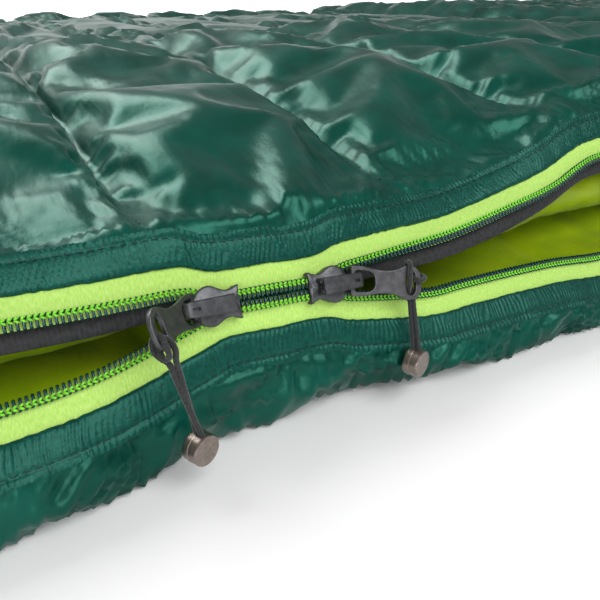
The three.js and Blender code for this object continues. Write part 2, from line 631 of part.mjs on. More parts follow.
for (const [name, setup] of Object.entries(SLIDERS)) {
  const onSlider = new THREE.Group();
  onSlider.applyMatrix4(sliderFrame(setup.nose));
  onSlider.add(mesh(`${name}_slider_body`, sliderBody(), MATERIAL.slider));
  onSlider.add(mesh(`${name}_slider_bridge`, sliderBridge(), MATERIAL.slider));
  onSlider.add(mesh(`${name}_slider_lock`, sliderLock(), MATERIAL.spring));
  const onPivot = new THREE.Group();
  onPivot.applyMatrix4(pullerFrame(setup));
  onPivot.add(mesh(`${name}_puller`, puller(), MATERIAL.puller));
  add(onSlider, onPivot);
  add(mesh(`${name}_cord`, cord(setup), MATERIAL.cord));
  add(mesh(`${name}_bead`, bead(setup), MATERIAL.bead));
}

export default group;
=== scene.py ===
# %% [markdown]
# # A camp quilt with a two-way side zip
# The quilt is folded lengthwise into a bag and lies on its lower panel. Its side zip is closed for two
# centimetres between two sliders and open on both sides of them. This script dresses the measured model:
# it keeps every size and joint of it and adds cloth, yarn, thread and metal that a mesh can show.
# %% Load the measured model
import math
import bpy
import numpy as np
from mathutils import Matrix, Vector
from mathutils.bvhtree import BVHTree


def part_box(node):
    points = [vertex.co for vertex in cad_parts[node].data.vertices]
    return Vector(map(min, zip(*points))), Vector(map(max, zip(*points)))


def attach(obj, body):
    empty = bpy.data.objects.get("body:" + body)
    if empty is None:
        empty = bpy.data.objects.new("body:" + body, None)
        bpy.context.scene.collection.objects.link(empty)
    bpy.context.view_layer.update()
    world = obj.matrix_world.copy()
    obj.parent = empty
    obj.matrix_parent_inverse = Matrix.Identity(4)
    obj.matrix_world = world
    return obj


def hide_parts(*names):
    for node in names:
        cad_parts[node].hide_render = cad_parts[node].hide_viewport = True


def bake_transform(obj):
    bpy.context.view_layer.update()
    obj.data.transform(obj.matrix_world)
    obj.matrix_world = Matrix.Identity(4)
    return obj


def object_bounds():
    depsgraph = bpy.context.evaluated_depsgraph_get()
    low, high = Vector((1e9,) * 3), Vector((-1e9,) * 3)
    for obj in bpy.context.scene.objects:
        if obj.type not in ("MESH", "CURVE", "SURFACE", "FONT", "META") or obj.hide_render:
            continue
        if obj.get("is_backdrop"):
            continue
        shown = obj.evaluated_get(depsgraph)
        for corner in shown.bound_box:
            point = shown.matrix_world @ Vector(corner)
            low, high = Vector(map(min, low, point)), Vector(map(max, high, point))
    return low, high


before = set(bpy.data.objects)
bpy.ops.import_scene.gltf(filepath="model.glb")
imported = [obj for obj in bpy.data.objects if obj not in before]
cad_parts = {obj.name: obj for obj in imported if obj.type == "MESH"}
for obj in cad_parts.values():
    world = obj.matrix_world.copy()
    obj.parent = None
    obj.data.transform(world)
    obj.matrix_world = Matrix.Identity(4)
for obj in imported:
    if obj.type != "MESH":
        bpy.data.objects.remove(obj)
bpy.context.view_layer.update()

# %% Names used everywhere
MM = 0.001
CREASE = 28                       # degrees between two faces above which metal shows an edge
NEAR = (-0.168, 0.360)            # stretch of the zip edge that is seen from close by

# %% [markdown]
# ## Camera
# The view is a close one from the zip side, looking along the edge toward the foot end and down onto the
# closed stretch of chain. A camera is three directions and a place: here the place is worked out by walking
# back from the chain, so that the same angle can be kept if the quilt changes.
# %% Camera
CHAIN_MIDDLE = Vector((-0.011, -0.390, 0.036))
YAW = math.radians(30)
LOOK_DOWN = math.radians(26)
forward = Vector((math.sin(YAW) * math.cos(LOOK_DOWN), math.cos(YAW) * math.cos(LOOK_DOWN),
                  -math.sin(LOOK_DOWN)))
rightward = Vector((math.cos(YAW), -math.sin(YAW), 0))
upward = rightward.cross(forward)
camera = bpy.data.objects.new("camera", bpy.data.cameras.new("camera"))
camera.data.lens = 39
camera.data.sensor_width = 36
camera.data.clip_start = 0.005
camera.matrix_world = Matrix((rightward, upward, -forward)).transposed().to_4x4()
camera.location = CHAIN_MIDDLE - 0.172 * (forward - 0.04615 * rightward + 0.00723 * upward)
bpy.context.scene.collection.objects.link(camera)
bpy.context.scene.camera = camera
print("camera", [round(v, 4) for v in camera.location])

# %% [markdown]
# ## Turning rows of points into meshes
# Nearly every piece here is either a cloth, which is a grid of points, or a thread, which is a row of rings.
# A grid could be made from a plane with modifiers, but its points have to follow the curved zip edge, so
# they are worked out as arrays and handed to Blender in one go, which is also much faster than one by one.
# %% Meshes from arrays
def grid_faces(rows, cols, closed=False):
    i = np.arange(rows - 1)[:, None]
    j = np.arange(cols if closed else cols - 1)[None, :]
    k = (j + 1) % cols
    a, b, c, d = i * cols + j, i * cols + k, (i + 1) * cols + k, (i + 1) * cols + j
    return np.stack([a, b, c, d], -1).reshape(-1, 4)


def tube_faces(rings, sides):
    """Faces of a tube that is closed at both ends."""
    last = (rings - 1) * sides
    faces = [list(f) for f in grid_faces(rings, sides, closed=True)]
    return faces + [list(range(sides))[::-1], [last + k for k in range(sides)]]


def make_piece(name, points, faces, finish, body, uv=None, smooth=True, sharp=None):
    mesh = bpy.data.meshes.new(name)
    mesh.from_pydata(np.asarray(points, float).reshape(-1, 3).tolist(), [], [list(f) for f in faces])
    mesh.polygons.foreach_set("use_smooth", [smooth] * len(mesh.polygons))
    if uv is not None:
        layer = mesh.uv_layers.new(name="weave")
        index = np.empty(len(mesh.loops), int)
        mesh.loops.foreach_get("vertex_index", index)
        layer.data.foreach_set("uv", np.asarray(uv, float).reshape(-1, 2)[index].ravel())
    if sharp is not None:
        mesh.set_sharp_from_angle(angle=math.radians(sharp))
    mesh.materials.append(finish)
    piece = bpy.data.objects.new(name, mesh)
    bpy.context.scene.collection.objects.link(piece)
    if body:
        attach(piece, body)
    return piece


def smooth_noise(u, v, seed):
    table = np.random.default_rng(seed).uniform(-1, 1, (64, 64))
    u, v = np.broadcast_arrays(np.asarray(u, float), np.asarray(v, float))
    i, j = np.floor(u).astype(int), np.floor(v).astype(int)
    f, g = u - i, v - j
    f, g = f * f * (3 - 2 * f), g * g * (3 - 2 * g)
    a, b = table[i % 64, j % 64], table[(i + 1) % 64, j % 64]
    c, d = table[i % 64, (j + 1) % 64], table[(i + 1) % 64, (j + 1) % 64]
    return (a * (1 - f) + b * f) * (1 - g) + (c * (1 - f) + d * f) * g


def smooth_step(low, high, value):
    t = np.clip((value - low) / (high - low), 0, 1)
    return t * t * (3 - 2 * t)


def through(keys, values, at):
    """Smooth values at new places, through rows of values at the key places."""
    keys, values, at = np.asarray(keys, float), np.asarray(values, float), np.asarray(at, float)
    slope = np.gradient(values, keys, axis=0)
    i = np.clip(np.searchsorted(keys, at) - 1, 0, len(keys) - 2)
    span = keys[i + 1] - keys[i]
    f = np.clip((at - keys[i]) / span, 0, 1)
    shape = (-1,) + (1,) * (values.ndim - 1)
    f, span = f.reshape(shape), span.reshape(shape)
    f2, f3 = f * f, f * f * f
    return ((2 * f3 - 3 * f2 + 1) * values[i] + (f3 - 2 * f2 + f) * span * slope[i]
            + (3 * f2 - 2 * f3) * values[i + 1] + (f3 - f2) * span * slope[i + 1])


print("helpers ready")

# %% [markdown]
# ## Finishes
# A finish is a shader that says how light meets the surface: how rough it is, whether it is metal, and what
# its grain is like. Yarn and hammered metal are far too fine to build, so their relief comes from
# procedural noise and waves that only bend the light, which is what a bump node does.
# %% Helpers for finishes
def new_finish(name, colour, roughness, metallic=0.0, specular=0.5, sheen=0.0, tint=(1, 1, 1)):
    material = bpy.data.materials.new(name)
    material.use_nodes = True
    shader = material.node_tree.nodes["Principled BSDF"]
    shader.inputs["Base Color"].default_value = (*colour, 1)
    shader.inputs["Roughness"].default_value = roughness
    shader.inputs["Metallic"].default_value = metallic
    shader.inputs["Specular IOR Level"].default_value = specular
    shader.inputs["Sheen Weight"].default_value = sheen
    shader.inputs["Sheen Roughness"].default_value = 0.4
    shader.inputs["Specular Tint"].default_value = (*tint, 1)
    return material


def placed(material, scale, by_weave=False):
    nodes, links = material.node_tree.nodes, material.node_tree.links
    where = nodes.new("ShaderNodeTexCoord")
    mapping = nodes.new("ShaderNodeMapping")
    mapping.inputs["Scale"].default_value = scale
    links.new(where.outputs["UV" if by_weave else "Object"], mapping.inputs["Vector"])
    return mapping.outputs["Vector"]


def noise(material, scale, detail=3.0, by_weave=False):
    texture = material.node_tree.nodes.new("ShaderNodeTexNoise")
    texture.inputs["Scale"].default_value = 1
    texture.inputs["Detail"].default_value = detail
    material.node_tree.links.new(placed(material, scale, by_weave), texture.inputs["Vector"])
    return texture.outputs["Fac"]


def wave(material, scale, direction, distortion=0.0, by_weave=True):
    texture = material.node_tree.nodes.new("ShaderNodeTexWave")
    texture.bands_direction = direction
    texture.inputs["Scale"].default_value = 0.31831 / 2
    texture.inputs["Distortion"].default_value = distortion
    texture.inputs["Detail"].default_value = 1
    material.node_tree.links.new(placed(material, scale, by_weave), texture.inputs["Vector"])
    return texture.outputs["Fac"]


def add_relief(material, height, strength, depth):
    nodes, links = material.node_tree.nodes, material.node_tree.links
    shader = nodes["Principled BSDF"]
    bump = nodes.new("ShaderNodeBump")
    bump.inputs["Strength"].default_value = strength
    bump.inputs["Distance"].default_value = depth
    links.new(height, bump.inputs["Height"])
    if shader.inputs["Normal"].is_linked:
        links.new(shader.inputs["Normal"].links[0].from_socket, bump.inputs["Normal"])
    links.new(bump.outputs["Normal"], shader.inputs["Normal"])


def add_shades(material, fac, dark, light, low=0.35, high=0.65, socket="Base Color"):
    nodes, links = material.node_tree.nodes, material.node_tree.links
    ramp = nodes.new("ShaderNodeValToRGB")
    ramp.color_ramp.elements[0].position = low
    ramp.color_ramp.elements[1].position = high
    ramp.color_ramp.elements[0].color = (*dark, 1)
    ramp.color_ramp.elements[1].color = (*light, 1)
    links.new(fac, ramp.inputs["Fac"])
    links.new(ramp.outputs["Color"], nodes["Principled BSDF"].inputs[socket])


# %% [markdown]
# The shell is a shiny calendered nylon: almost black green where it faces away, with long soft highlights
# on every fold. The lining is the same cloth in lime. The tape is a matt woven band with a rib every half
# millimetre, and the gathered strips are shell cloth drawn up by their stitches.
# %% Cloth finishes
shell_nylon = new_finish("shell_nylon", (0.001, 0.062, 0.044), 0.34, specular=0.55, tint=(0.25, 0.9, 0.66))
add_shades(shell_nylon, noise(shell_nylon, (60, 60, 60)), (0.0003, 0.031, 0.021), (0.0005, 0.052, 0.037))
add_relief(shell_nylon, noise(shell_nylon, (300, 130, 300), 3), 0.22, 0.0007)
add_relief(shell_nylon, noise(shell_nylon, (3600, 3600, 3600), 2), 0.10, 0.00006)

lining_nylon = new_finish("lining_nylon", (0.36, 0.52, 0.004), 0.42, specular=0.45, sheen=0.05)
add_shades(lining_nylon, noise(lining_nylon, (45, 45, 45)), (0.22, 0.34, 0.002), (0.31, 0.43, 0.003))
add_relief(lining_nylon, noise(lining_nylon, (260, 190, 260), 4), 0.4, 0.0009)
add_relief(lining_nylon, noise(lining_nylon, (3600, 3600, 3600), 2), 0.10, 0.00006)

gathered_nylon = new_finish("gathered_nylon", (0.003, 0.085, 0.062), 0.38, specular=0.5, tint=(0.3, 0.9, 0.7))
add_shades(gathered_nylon, noise(gathered_nylon, (900, 900, 900)), (0.0004, 0.028, 0.021),
           (0.0008, 0.052, 0.039))
add_relief(gathered_nylon, noise(gathered_nylon, (1500, 1500, 1500), 3), 0.35, 0.0003)

zip_tape = new_finish("zip_tape", (0.47, 0.80, 0.16), 0.75, specular=0.2, sheen=0.1)
add_shades(zip_tape, noise(zip_tape, (2600, 700, 1), 2, True), (0.36, 0.60, 0.11), (0.47, 0.70, 0.17))
add_relief(zip_tape, wave(zip_tape, (1 / 0.00045, 1, 1), "X"), 0.5, 0.00008)
add_relief(zip_tape, wave(zip_tape, (1, 1 / 0.00062, 1), "Y"), 0.35, 0.00008)

facing_tape = new_finish("facing_tape", (0.024, 0.026, 0.029), 0.62, specular=0.4, sheen=0.15)
add_shades(facing_tape, noise(facing_tape, (700, 700, 1), 3, True), (0.004, 0.004, 0.005),
           (0.016, 0.017, 0.019))
add_relief(facing_tape, wave(facing_tape, (1 / 0.0006, 1, 1), "X"), 0.4, 0.0001)

binding = new_finish("binding", (0.002, 0.045, 0.033), 0.55, specular=0.4, sheen=0.15)
add_shades(binding, noise(binding, (500, 500, 500)), (0.001, 0.032, 0.024), (0.003, 0.06, 0.045))
add_relief(binding, noise(binding, (1400, 1400, 1400), 3), 0.3, 0.0002)

insulation = new_finish("insulation", (0.8, 0.79, 0.75), 0.95, specular=0.1, sheen=0.4)
add_shades(insulation, noise(insulation, (300, 300, 300)), (0.7, 0.69, 0.65), (0.86, 0.85, 0.82))
add_relief(insulation, noise(insulation, (220, 220, 220), 6), 0.8, 0.002)

# %% [markdown]
# The coil is extruded nylon wire, so it is smooth and glints. Its stitches are thick lime thread. The
# sliders and pullers are zinc with a satin gunmetal plating, a little paler and darker in random patches, and
# the beads are brushed warm grey metal.
# %% Thread, wire and metal finishes
zip_coil = new_finish("zip_coil", (0.004, 0.055, 0.05), 0.2, specular=0.7)
add_shades(zip_coil, noise(zip_coil, (700, 700, 700)), (0.001, 0.034, 0.033), (0.003, 0.056, 0.052))
add_relief(zip_coil, noise(zip_coil, (4000, 4000, 4000), 2), 0.12, 0.00005)

coil_thread = new_finish("coil_thread", (0.2, 0.72, 0.015), 0.55, specular=0.35, sheen=0.2)
add_shades(coil_thread, noise(coil_thread, (1800, 1800, 1800)), (0.12, 0.52, 0.008), (0.24, 0.72, 0.02))
add_relief(coil_thread, noise(coil_thread, (7000, 7000, 7000), 2), 0.35, 0.00006)

seam_thread = new_finish("seam_thread", (0.001, 0.028, 0.022), 0.6, specular=0.35, sheen=0.15)
add_shades(seam_thread, noise(seam_thread, (2500, 2500, 2500)), (0.001, 0.018, 0.015), (0.002, 0.04, 0.03))
add_relief(seam_thread, noise(seam_thread, (6000, 6000, 6000), 2), 0.4, 0.00006)

slider_metal = new_finish("slider_metal", (0.075, 0.078, 0.083), 0.36, metallic=0.75, specular=0.5)
add_shades(slider_metal, noise(slider_metal, (600, 600, 600), 5), (0.058, 0.06, 0.065), (0.095, 0.099, 0.105))
add_relief(slider_metal, noise(slider_metal, (2200, 2200, 2200), 3), 0.22, 0.00012)
add_relief(slider_metal, noise(slider_metal, (9000, 9000, 9000), 2), 0.15, 0.00003)

puller_metal = new_finish("puller_metal", (0.085, 0.085, 0.092), 0.38, metallic=0.75, specular=0.5)
add_shades(puller_metal, noise(puller_metal, (500, 500, 500), 5), (0.066, 0.066, 0.072), (0.11, 0.11, 0.118))
add_relief(puller_metal, noise(puller_metal, (2000, 2000, 2000), 3), 0.25, 0.00012)
add_relief(puller_metal, noise(puller_metal, (9000, 9000, 9000), 2), 0.15, 0.00003)

spring_steel = new_finish("spring_steel", (0.03, 0.031, 0.033), 0.3, metallic=1.0)
add_shades(spring_steel, noise(spring_steel, (900, 900, 900)), (0.02, 0.021, 0.023), (0.045, 0.046, 0.05))
add_relief(spring_steel, noise(spring_steel, (5000, 800, 5000), 3), 0.25, 0.00005)

bead_metal = new_finish("bead_metal", (0.3, 0.25, 0.22), 0.3, metallic=0.95)
add_shades(bead_metal, noise(bead_metal, (900, 900, 900), 5), (0.22, 0.18, 0.158), (0.30, 0.25, 0.22))
add_relief(bead_metal, noise(bead_metal, (9000, 9000, 700), 3), 0.3, 0.00006)

cord_braid = new_finish("cord_braid", (0.018, 0.021, 0.02), 0.75, specular=0.3, sheen=0.3)
add_shades(cord_braid, noise(cord_braid, (2600, 2600, 2600)), (0.010, 0.012, 0.012), (0.034, 0.038, 0.036))
add_relief(cord_braid, noise(cord_braid, (5200, 5200, 5200), 2), 0.6, 0.0001)
print("finishes", len(bpy.data.materials))

# %% [markdown]
# ## Cords and beads
# Each puller carries a doubled cord 1.4 mm thick that is hitched in its eye, and both strands run down into
# a short metal bead. The cord is a braid, so the tube that stands for it is given ribs that wind both ways.
# A curve with a round bevel would be quicker, but its surface would be smooth.
# %% Tubes that follow a path
def smooth_path(points, count):
    points = np.asarray(points, float)
    gap = np.linalg.norm(np.diff(points, axis=0), axis=1) ** 0.5
    keys = np.concatenate([[0], np.cumsum(gap)])
    return through(keys, points, np.linspace(0, keys[-1], count))


def tube(path, radius, sides, relief=None):
    path = np.asarray(path, float)
    along = np.gradient(path, axis=0)
    along /= np.linalg.norm(along, axis=1)[:, None]
    across = np.zeros_like(path)
    guess = np.cross(along[0], (0.3, 0.5, 0.81))
    for i, direction in enumerate(along):
        guess = guess - direction * np.dot(guess, direction)
        guess = guess / np.linalg.norm(guess)
        across[i] = guess
    third = np.cross(along, across)
    turn = np.linspace(0, 2 * np.pi, sides, endpoint=False)
    size = np.broadcast_to(np.asarray(radius, float).reshape(-1, 1), (len(path), sides))
    if relief is not None:
        size = size * relief(np.arange(len(path))[:, None], turn[None, :])
    rings = (path[:, None] + size[..., None] * (np.cos(turn)[None, :, None] * across[:, None]
             + np.sin(turn)[None, :, None] * third[:, None]))
    return rings.reshape(-1, 3), tube_faces(len(path), sides)


def length_of(path):
    return float(np.linalg.norm(np.diff(path, axis=0), axis=1).sum())


# %% [markdown]
# The place and the three directions of each puller and slider are the model's own. The first direction runs
# along the piece away from its pivot or tail, the second across it, and the third out of its face.
# %% Sliders' and pullers' own axes
AXES = {
    "left_slider": ((-0.021181, -0.39, 0.036623), (-0.99813, 0, 0.06109), (-0.05538, -0.42197, -0.90492),
                    (0.02578, -0.90661, 0.42118)),
    "right_slider": ((-0.000819, -0.39, 0.035377), (0.99813, 0, -0.06109), (0.05538, 0.42197, 0.90492),
                     (0.02578, -0.90661, 0.42118)),
    "left_puller": ((-0.033929, -0.394488, 0.039496), (-0.6945, -0.6877, 0.21151),
                    (0.13609, -0.41422, -0.89995), (0.7065, -0.59623, 0.38126)),
    "right_puller": ((0.012184, -0.394488, 0.036674), (0.96338, -0.20591, -0.17175),
                     (0.24482, 0.41422, 0.87664), (-0.10936, -0.88658, 0.44946)),
}


def on_body(body, points):
    place, x, y, z = (np.array(v) for v in AXES[body])
    points = np.asarray(points, float) * MM
    return place + points[..., :1] * x + points[..., 1:2] * y + points[..., 2:3] * z


# %% Cords
CORD_DIAMETER = 0.0014
HITCH = [(18.9, -5.6, -1.5), (18.5, -3.9, -1.45), (17.9, -2.2, -0.7), (17.4, -0.8, 0.9), (17.2, 1.2, 1.55),
         (17.3, 3.4, 1.6), (17.5, 5.2, 1.2), (17.7, 6.1, 0.0), (17.9, 5.4, -1.35), (18.1, 3.7, -1.5),
         (18.5, 2.3, -0.6), (19.0, 1.2, 1.0), (20.2, 0.6, 1.75), (21.6, 1.0, 1.4), (22.5, 1.9, 0.2),
         (21.9, 2.5, -1.2), (20.6, 2.4, -1.6), (19.4, 1.0, -1.5), (18.9, -0.8, -1.55), (19.7, -2.6, -1.6)]
LEFT_HITCH = [(17.6, 7.4, 0.9), (17.5, 5.6, 1.5), (17.6, 3.6, 1.35), (18.0, 2.0, 0.0), (18.3, 2.7, -1.5),
              (18.4, 4.6, -1.6),
              (18.9, 6.2, -1.1), (19.7, 6.3, 0.6), (20.6, 5.0, 1.6), (20.9, 3.2, 1.7), (20.0, 1.5, 1.0),
              (19.0, 0.9, -0.6), (18.6, 2.0, -2.4), (18.6, 4.2, -2.9), (18.3, 6.0, -2.2), (18.2, 7.6, -0.8)]


def strands(side, bead_top):
    hitch = on_body(f"{side}_puller", HITCH if side == "right" else LEFT_HITCH)
    half = 0.85 * MM * np.array([math.sin(math.radians(22)), -math.cos(math.radians(22)), 0])
    start, end = bead_top - half, bead_top + half
    up = [start + (hitch[0] - start) * f for f in (0, 0.2, 0.4, 0.6, 0.8)]
    down = [hitch[-1] + (end - hitch[-1]) * f for f in (0.25, 0.45, 0.65, 0.85, 1)]
    return np.array([*up, *hitch, *down])


BEAD_R = 4.0 * MM
BEAD_CENTRE = {s: sum((Vector(v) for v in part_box(f"{s}_bead")), Vector()) / 2 for s in ("left", "right")}
cords = {}
for side in ("left", "right"):
    top = np.array(BEAD_CENTRE[side]) + np.array([0, 0, BEAD_R - 0.5 * MM])
    route = smooth_path(strands(side, top), 260)
    braid = lambda i, turn: 1 + 0.07 * np.sin(3 * turn + i * 0.75) * np.sin(3 * turn - i * 0.75)
    points, faces = tube(route, CORD_DIAMETER / 2, 12, braid)
    cord = make_piece(f"{side}_cord_braid", points, faces, cord_braid, None)
    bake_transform(cord)
    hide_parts(f"{side}_cord")
    cords[side] = (cord, route)
    print(side, "cord", round(length_of(route) * 1000, 1), "mm")

# %% [markdown]
# A bead is turned from a short rod. Its two faces are flat with a small chamfer, and a fine groove runs
# round its side. A lathe does this, so a profile is spun here too.
# %% Beads
def spun(profile, count, centre, axis, finish, name, body):
    axis = Vector(axis).normalized()
    side = axis.cross(Vector((0, 0, 1))).normalized()
    other = axis.cross(side)
    turn = np.linspace(0, 2 * np.pi, count, endpoint=False)
    rows = []
    for radius, height in profile:
        ring = (np.array(centre) + height * np.array(axis)
                + radius * (np.cos(turn)[:, None] * np.array(side) + np.sin(turn)[:, None] * np.array(other)))
        rows.append(ring)
    return make_piece(name, np.array(rows), tube_faces(len(rows), count), finish, body, sharp=CREASE)


BEAD_AXIS = (math.sin(math.radians(22)), -math.cos(math.radians(22)), 0)
half_profile = [(0.25, 2.38), (2.6, 2.38), (3.35, 2.38), (3.6, 2.37),
                (3.86, 2.25), (3.97, 2.0), (4.0, 1.6), (4.0, 0.45), (3.9, 0.35), (3.9, 0.12)]
profile = [(r * MM, h * MM) for r, h in half_profile[::-1]]
full = [(r, -h) for r, h in profile[::-1]] + profile
for side in ("left", "right"):
    bead = spun(full, 64, BEAD_CENTRE[side], BEAD_AXIS, bead_metal, f"{side}_bead_turned",
                f"{side}_pull_cord")
    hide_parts(f"{side}_bead")
    cord, route = cords[side]
print("beads at", [tuple(round(v * 1000, 1) for v in BEAD_CENTRE[s]) for s in BEAD_CENTRE])

# %% [markdown]
# ## The zip edge
# Everything on the zip edge follows two curves, the middles of the upper and the lower coil, and leans at
# the tape's own tilt. Both are read from the model's tapes: each cross-section has four corners, whose
# middles give the tape's two edges. Distances are then measured along the curve, across the tape and out
# of it, so each piece can be written as if the tape were flat.
# %% Read the two tapes
def corners(node):
    return np.array([v.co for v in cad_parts[node].data.vertices], float)


TAPE_INNER = 1.15 * MM            # from the coil's middle to the tape's hidden edge


def read_tape(side):
    sign = 1 if side == "upper" else -1
    points = corners(f"{side}_tape")
    place = np.round(points[:, 0], 5)
    rows = []
    for x in np.unique(place):
        four = np.unique(np.round(points[place == x][:, 1:], 7), axis=0)
        four = four[np.argsort(sign * four.sum(1))]
        inner, outer = four[:2].mean(0), four[-2:].mean(0)
        across = (outer - inner) / np.linalg.norm(outer - inner)
        middle = inner + TAPE_INNER * across
        rows.append([x, *middle, math.atan2(sign * across[1], sign * across[0])])
    return np.array(rows)


class ZipEdge:
    def __init__(self, side):
        self.sign = 1 if side == "upper" else -1
        keys = read_tape(side)
        x = np.linspace(keys[0, 0], keys[-1, 0], 6000)
        path = np.concatenate([x[:, None], through(keys[:, 0], keys[:, 1:], x)], 1)
        step = np.linalg.norm(np.diff(path[:, :3], axis=0), axis=1)
        run = np.concatenate([[0], np.cumsum(step)])
        self.run = run - np.interp(CHAIN_MIDDLE.x, x, run)
        self.path = path
        self.ends = (self.run[0], self.run[-1])

    def at(self, run, across, out):
        """Points at a run along the coil, an amount across the tape and an amount out of its face."""
        run, across, out = np.broadcast_arrays(np.asarray(run, float), across, out)
        x, y, z, tilt = (np.interp(run, self.run, self.path[:, k]) for k in range(4))
        reach = self.sign * across
        return np.stack([x, y + reach * np.cos(tilt) - out * np.sin(tilt),
                         z + reach * np.sin(tilt) + out * np.cos(tilt)], -1)

    def run_at(self, x):
        return np.interp(x, self.path[:, 0], self.run)

    def stations(self, near_step, far_step, inset=0.0):
        a, b = self.run_at(NEAR[0]), self.run_at(NEAR[1])
        low, high = self.ends[0] + inset, self.ends[1] - inset
        parts = [np.linspace(p, q, max(2, int(round((q - p) / s)) + 1))[:-1]
                 for p, q, s in ((low, a, far_step), (a, b, near_step), (b, high, far_step))]
        return np.concatenate([*parts, [high]])


EDGE = {side: ZipEdge(side) for side in ("upper", "lower")}
print("zip edge", round(EDGE["upper"].ends[1] - EDGE["upper"].ends[0], 3), "m along the upper coil")

# %% [markdown]
# ### Tapes
# A zip tape is a woven band with a firm edge. It is built as a closed strip with a slight crown; its rib and
# its weft are waves laid out along and across the strip, so a UV map in metres is stored with it.
# %% Tapes
def closed_strip(edge, runs, outline):
    """A strip whose closed outline is given as (across, out) pairs."""
    outline = np.asarray(outline, float)
    points = edge.at(runs[:, None], outline[None, :, 0], outline[None, :, 1])
    faces = tube_faces(len(runs), len(outline))
    girth = np.concatenate([[0], np.cumsum(np.linalg.norm(np.diff(outline, axis=0), axis=1))])
    uv = np.stack(np.broadcast_arrays(runs[:, None], girth[None, :]), -1)
    return points, faces, uv


tape_top = [(-1.1, 0.26), (0.5, 0.33), (1.9, 0.36), (3.4, 0.42), (5.0, 0.42), (6.6, 0.34), (8.4, 0.30),
            (10.7, 0.26)]
tape_under = [(10.85, 0.0), (10.7, -0.26), (5.0, -0.22), (0.5, -0.27), (-1.1, -0.26), (-1.2, 0.0)]
tape_outline = [(a * MM, h * MM) for a, h in tape_top + tape_under]
for side, edge in EDGE.items():
    points, faces, uv = closed_strip(edge, edge.stations(1.2 * MM, 8 * MM), tape_outline)
    tape = make_piece(f"{side}_tape_woven", points, faces, zip_tape, "quilt", uv)
    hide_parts(f"{side}_tape")
    print(tape.name, len(tape.data.polygons), "faces")

# %% [markdown]
# ### Coils
# A coil zip has no separate teeth. One nylon wire is wound into a flattened spiral, a loop every 1.35 mm,
# and the bulge on the inner side of each loop is its tooth. A spiral built as one long tube therefore gives
# the teeth, the bars between and the round heels at once. The two coils are wound half a loop apart, so
# that they mesh where the zip is closed.
# %% Coils
LOOP = 1.35 * MM
WIRE_SIDES = 6
# one loop of wire: along, across, out, then the wire's half width along and out, in millimetres
WIRE = np.array([(0.00, 1.06, 2.00, 0.31, 0.31), (0.00, 0.45, 2.10, 0.31, 0.28),
                 (0.02, -0.45, 2.08, 0.32, 0.28),
                 (0.03, -1.15, 1.88, 0.40, 0.30), (0.06, -1.42, 1.45, 0.44, 0.33),
                 (0.12, -1.10, 1.04, 0.36, 0.29),
                 (0.32, 0.20, 0.80, 0.28, 0.28), (0.66, 1.12, 0.98, 0.28, 0.28),
                 (1.02, 1.36, 1.48, 0.29, 0.29)])
WIRE = WIRE * MM


def wind(edge, shift):
    count = int((edge.ends[1] - edge.ends[0] - 9 * MM) / LOOP)
    first = edge.ends[0] + 4.5 * MM + shift
    loops = (first + LOOP * np.arange(count))[:, None]
    runs = (loops + WIRE[None, :, 0]).ravel()
    across = np.tile(WIRE[:, 1], count)
    out = np.tile(WIRE[:, 2], count)
    middle = np.stack([runs, across, out], -1)
    along = np.gradient(middle, axis=0)
    along /= np.linalg.norm(along, axis=1)[:, None]
    side = np.array([1.0, 0, 0]) - along * along[:, :1]
    side /= np.linalg.norm(side, axis=1)[:, None]
    third = np.cross(along, side)
    turn = np.linspace(0, 2 * np.pi, WIRE_SIDES, endpoint=False) + 0.3
    wide, deep = np.tile(WIRE[:, 3], count)[:, None, None], np.tile(WIRE[:, 4], count)[:, None, None]
    rings = (middle[:, None] + wide * np.cos(turn)[None, :, None] * side[:, None]
             + deep * np.sin(turn)[None, :, None] * third[:, None])
    points = edge.at(rings[..., 0], rings[..., 1], rings[..., 2])
    return points, tube_faces(len(runs), WIRE_SIDES)


for side, shift in (("upper", 0), ("lower", LOOP / 2)):
    points, faces = wind(EDGE[side], shift)
    coil = make_piece(f"{side}_coil_wound", points, faces, zip_coil, "quilt")
    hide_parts(f"{side}_coil")
    print(coil.name, len(faces), "faces")

# %% [markdown]
# ### Thread
# Two rows of thick lime thread hold each coil to its tape and lie on it like a plait: in each loop, two
# stitches part from the middle and point the same way. Short rounded grains repeated along the curve do
# this well, and the same grain, made thinner, serves for all the seams.
# %% Stitches
def grain(sides, lengthwise):
    turn = np.linspace(0, 2 * np.pi, sides, endpoint=False)
    places = np.linspace(-1, 1, lengthwise)
    size = np.sqrt(np.clip(1 - np.abs(places) ** 3 * 0.86, 0, 1))
    points = np.array([[p, s * math.cos(t), s * math.sin(t)] for p, s in zip(places, size) for t in turn])
    return points, tube_faces(lengthwise, sides)


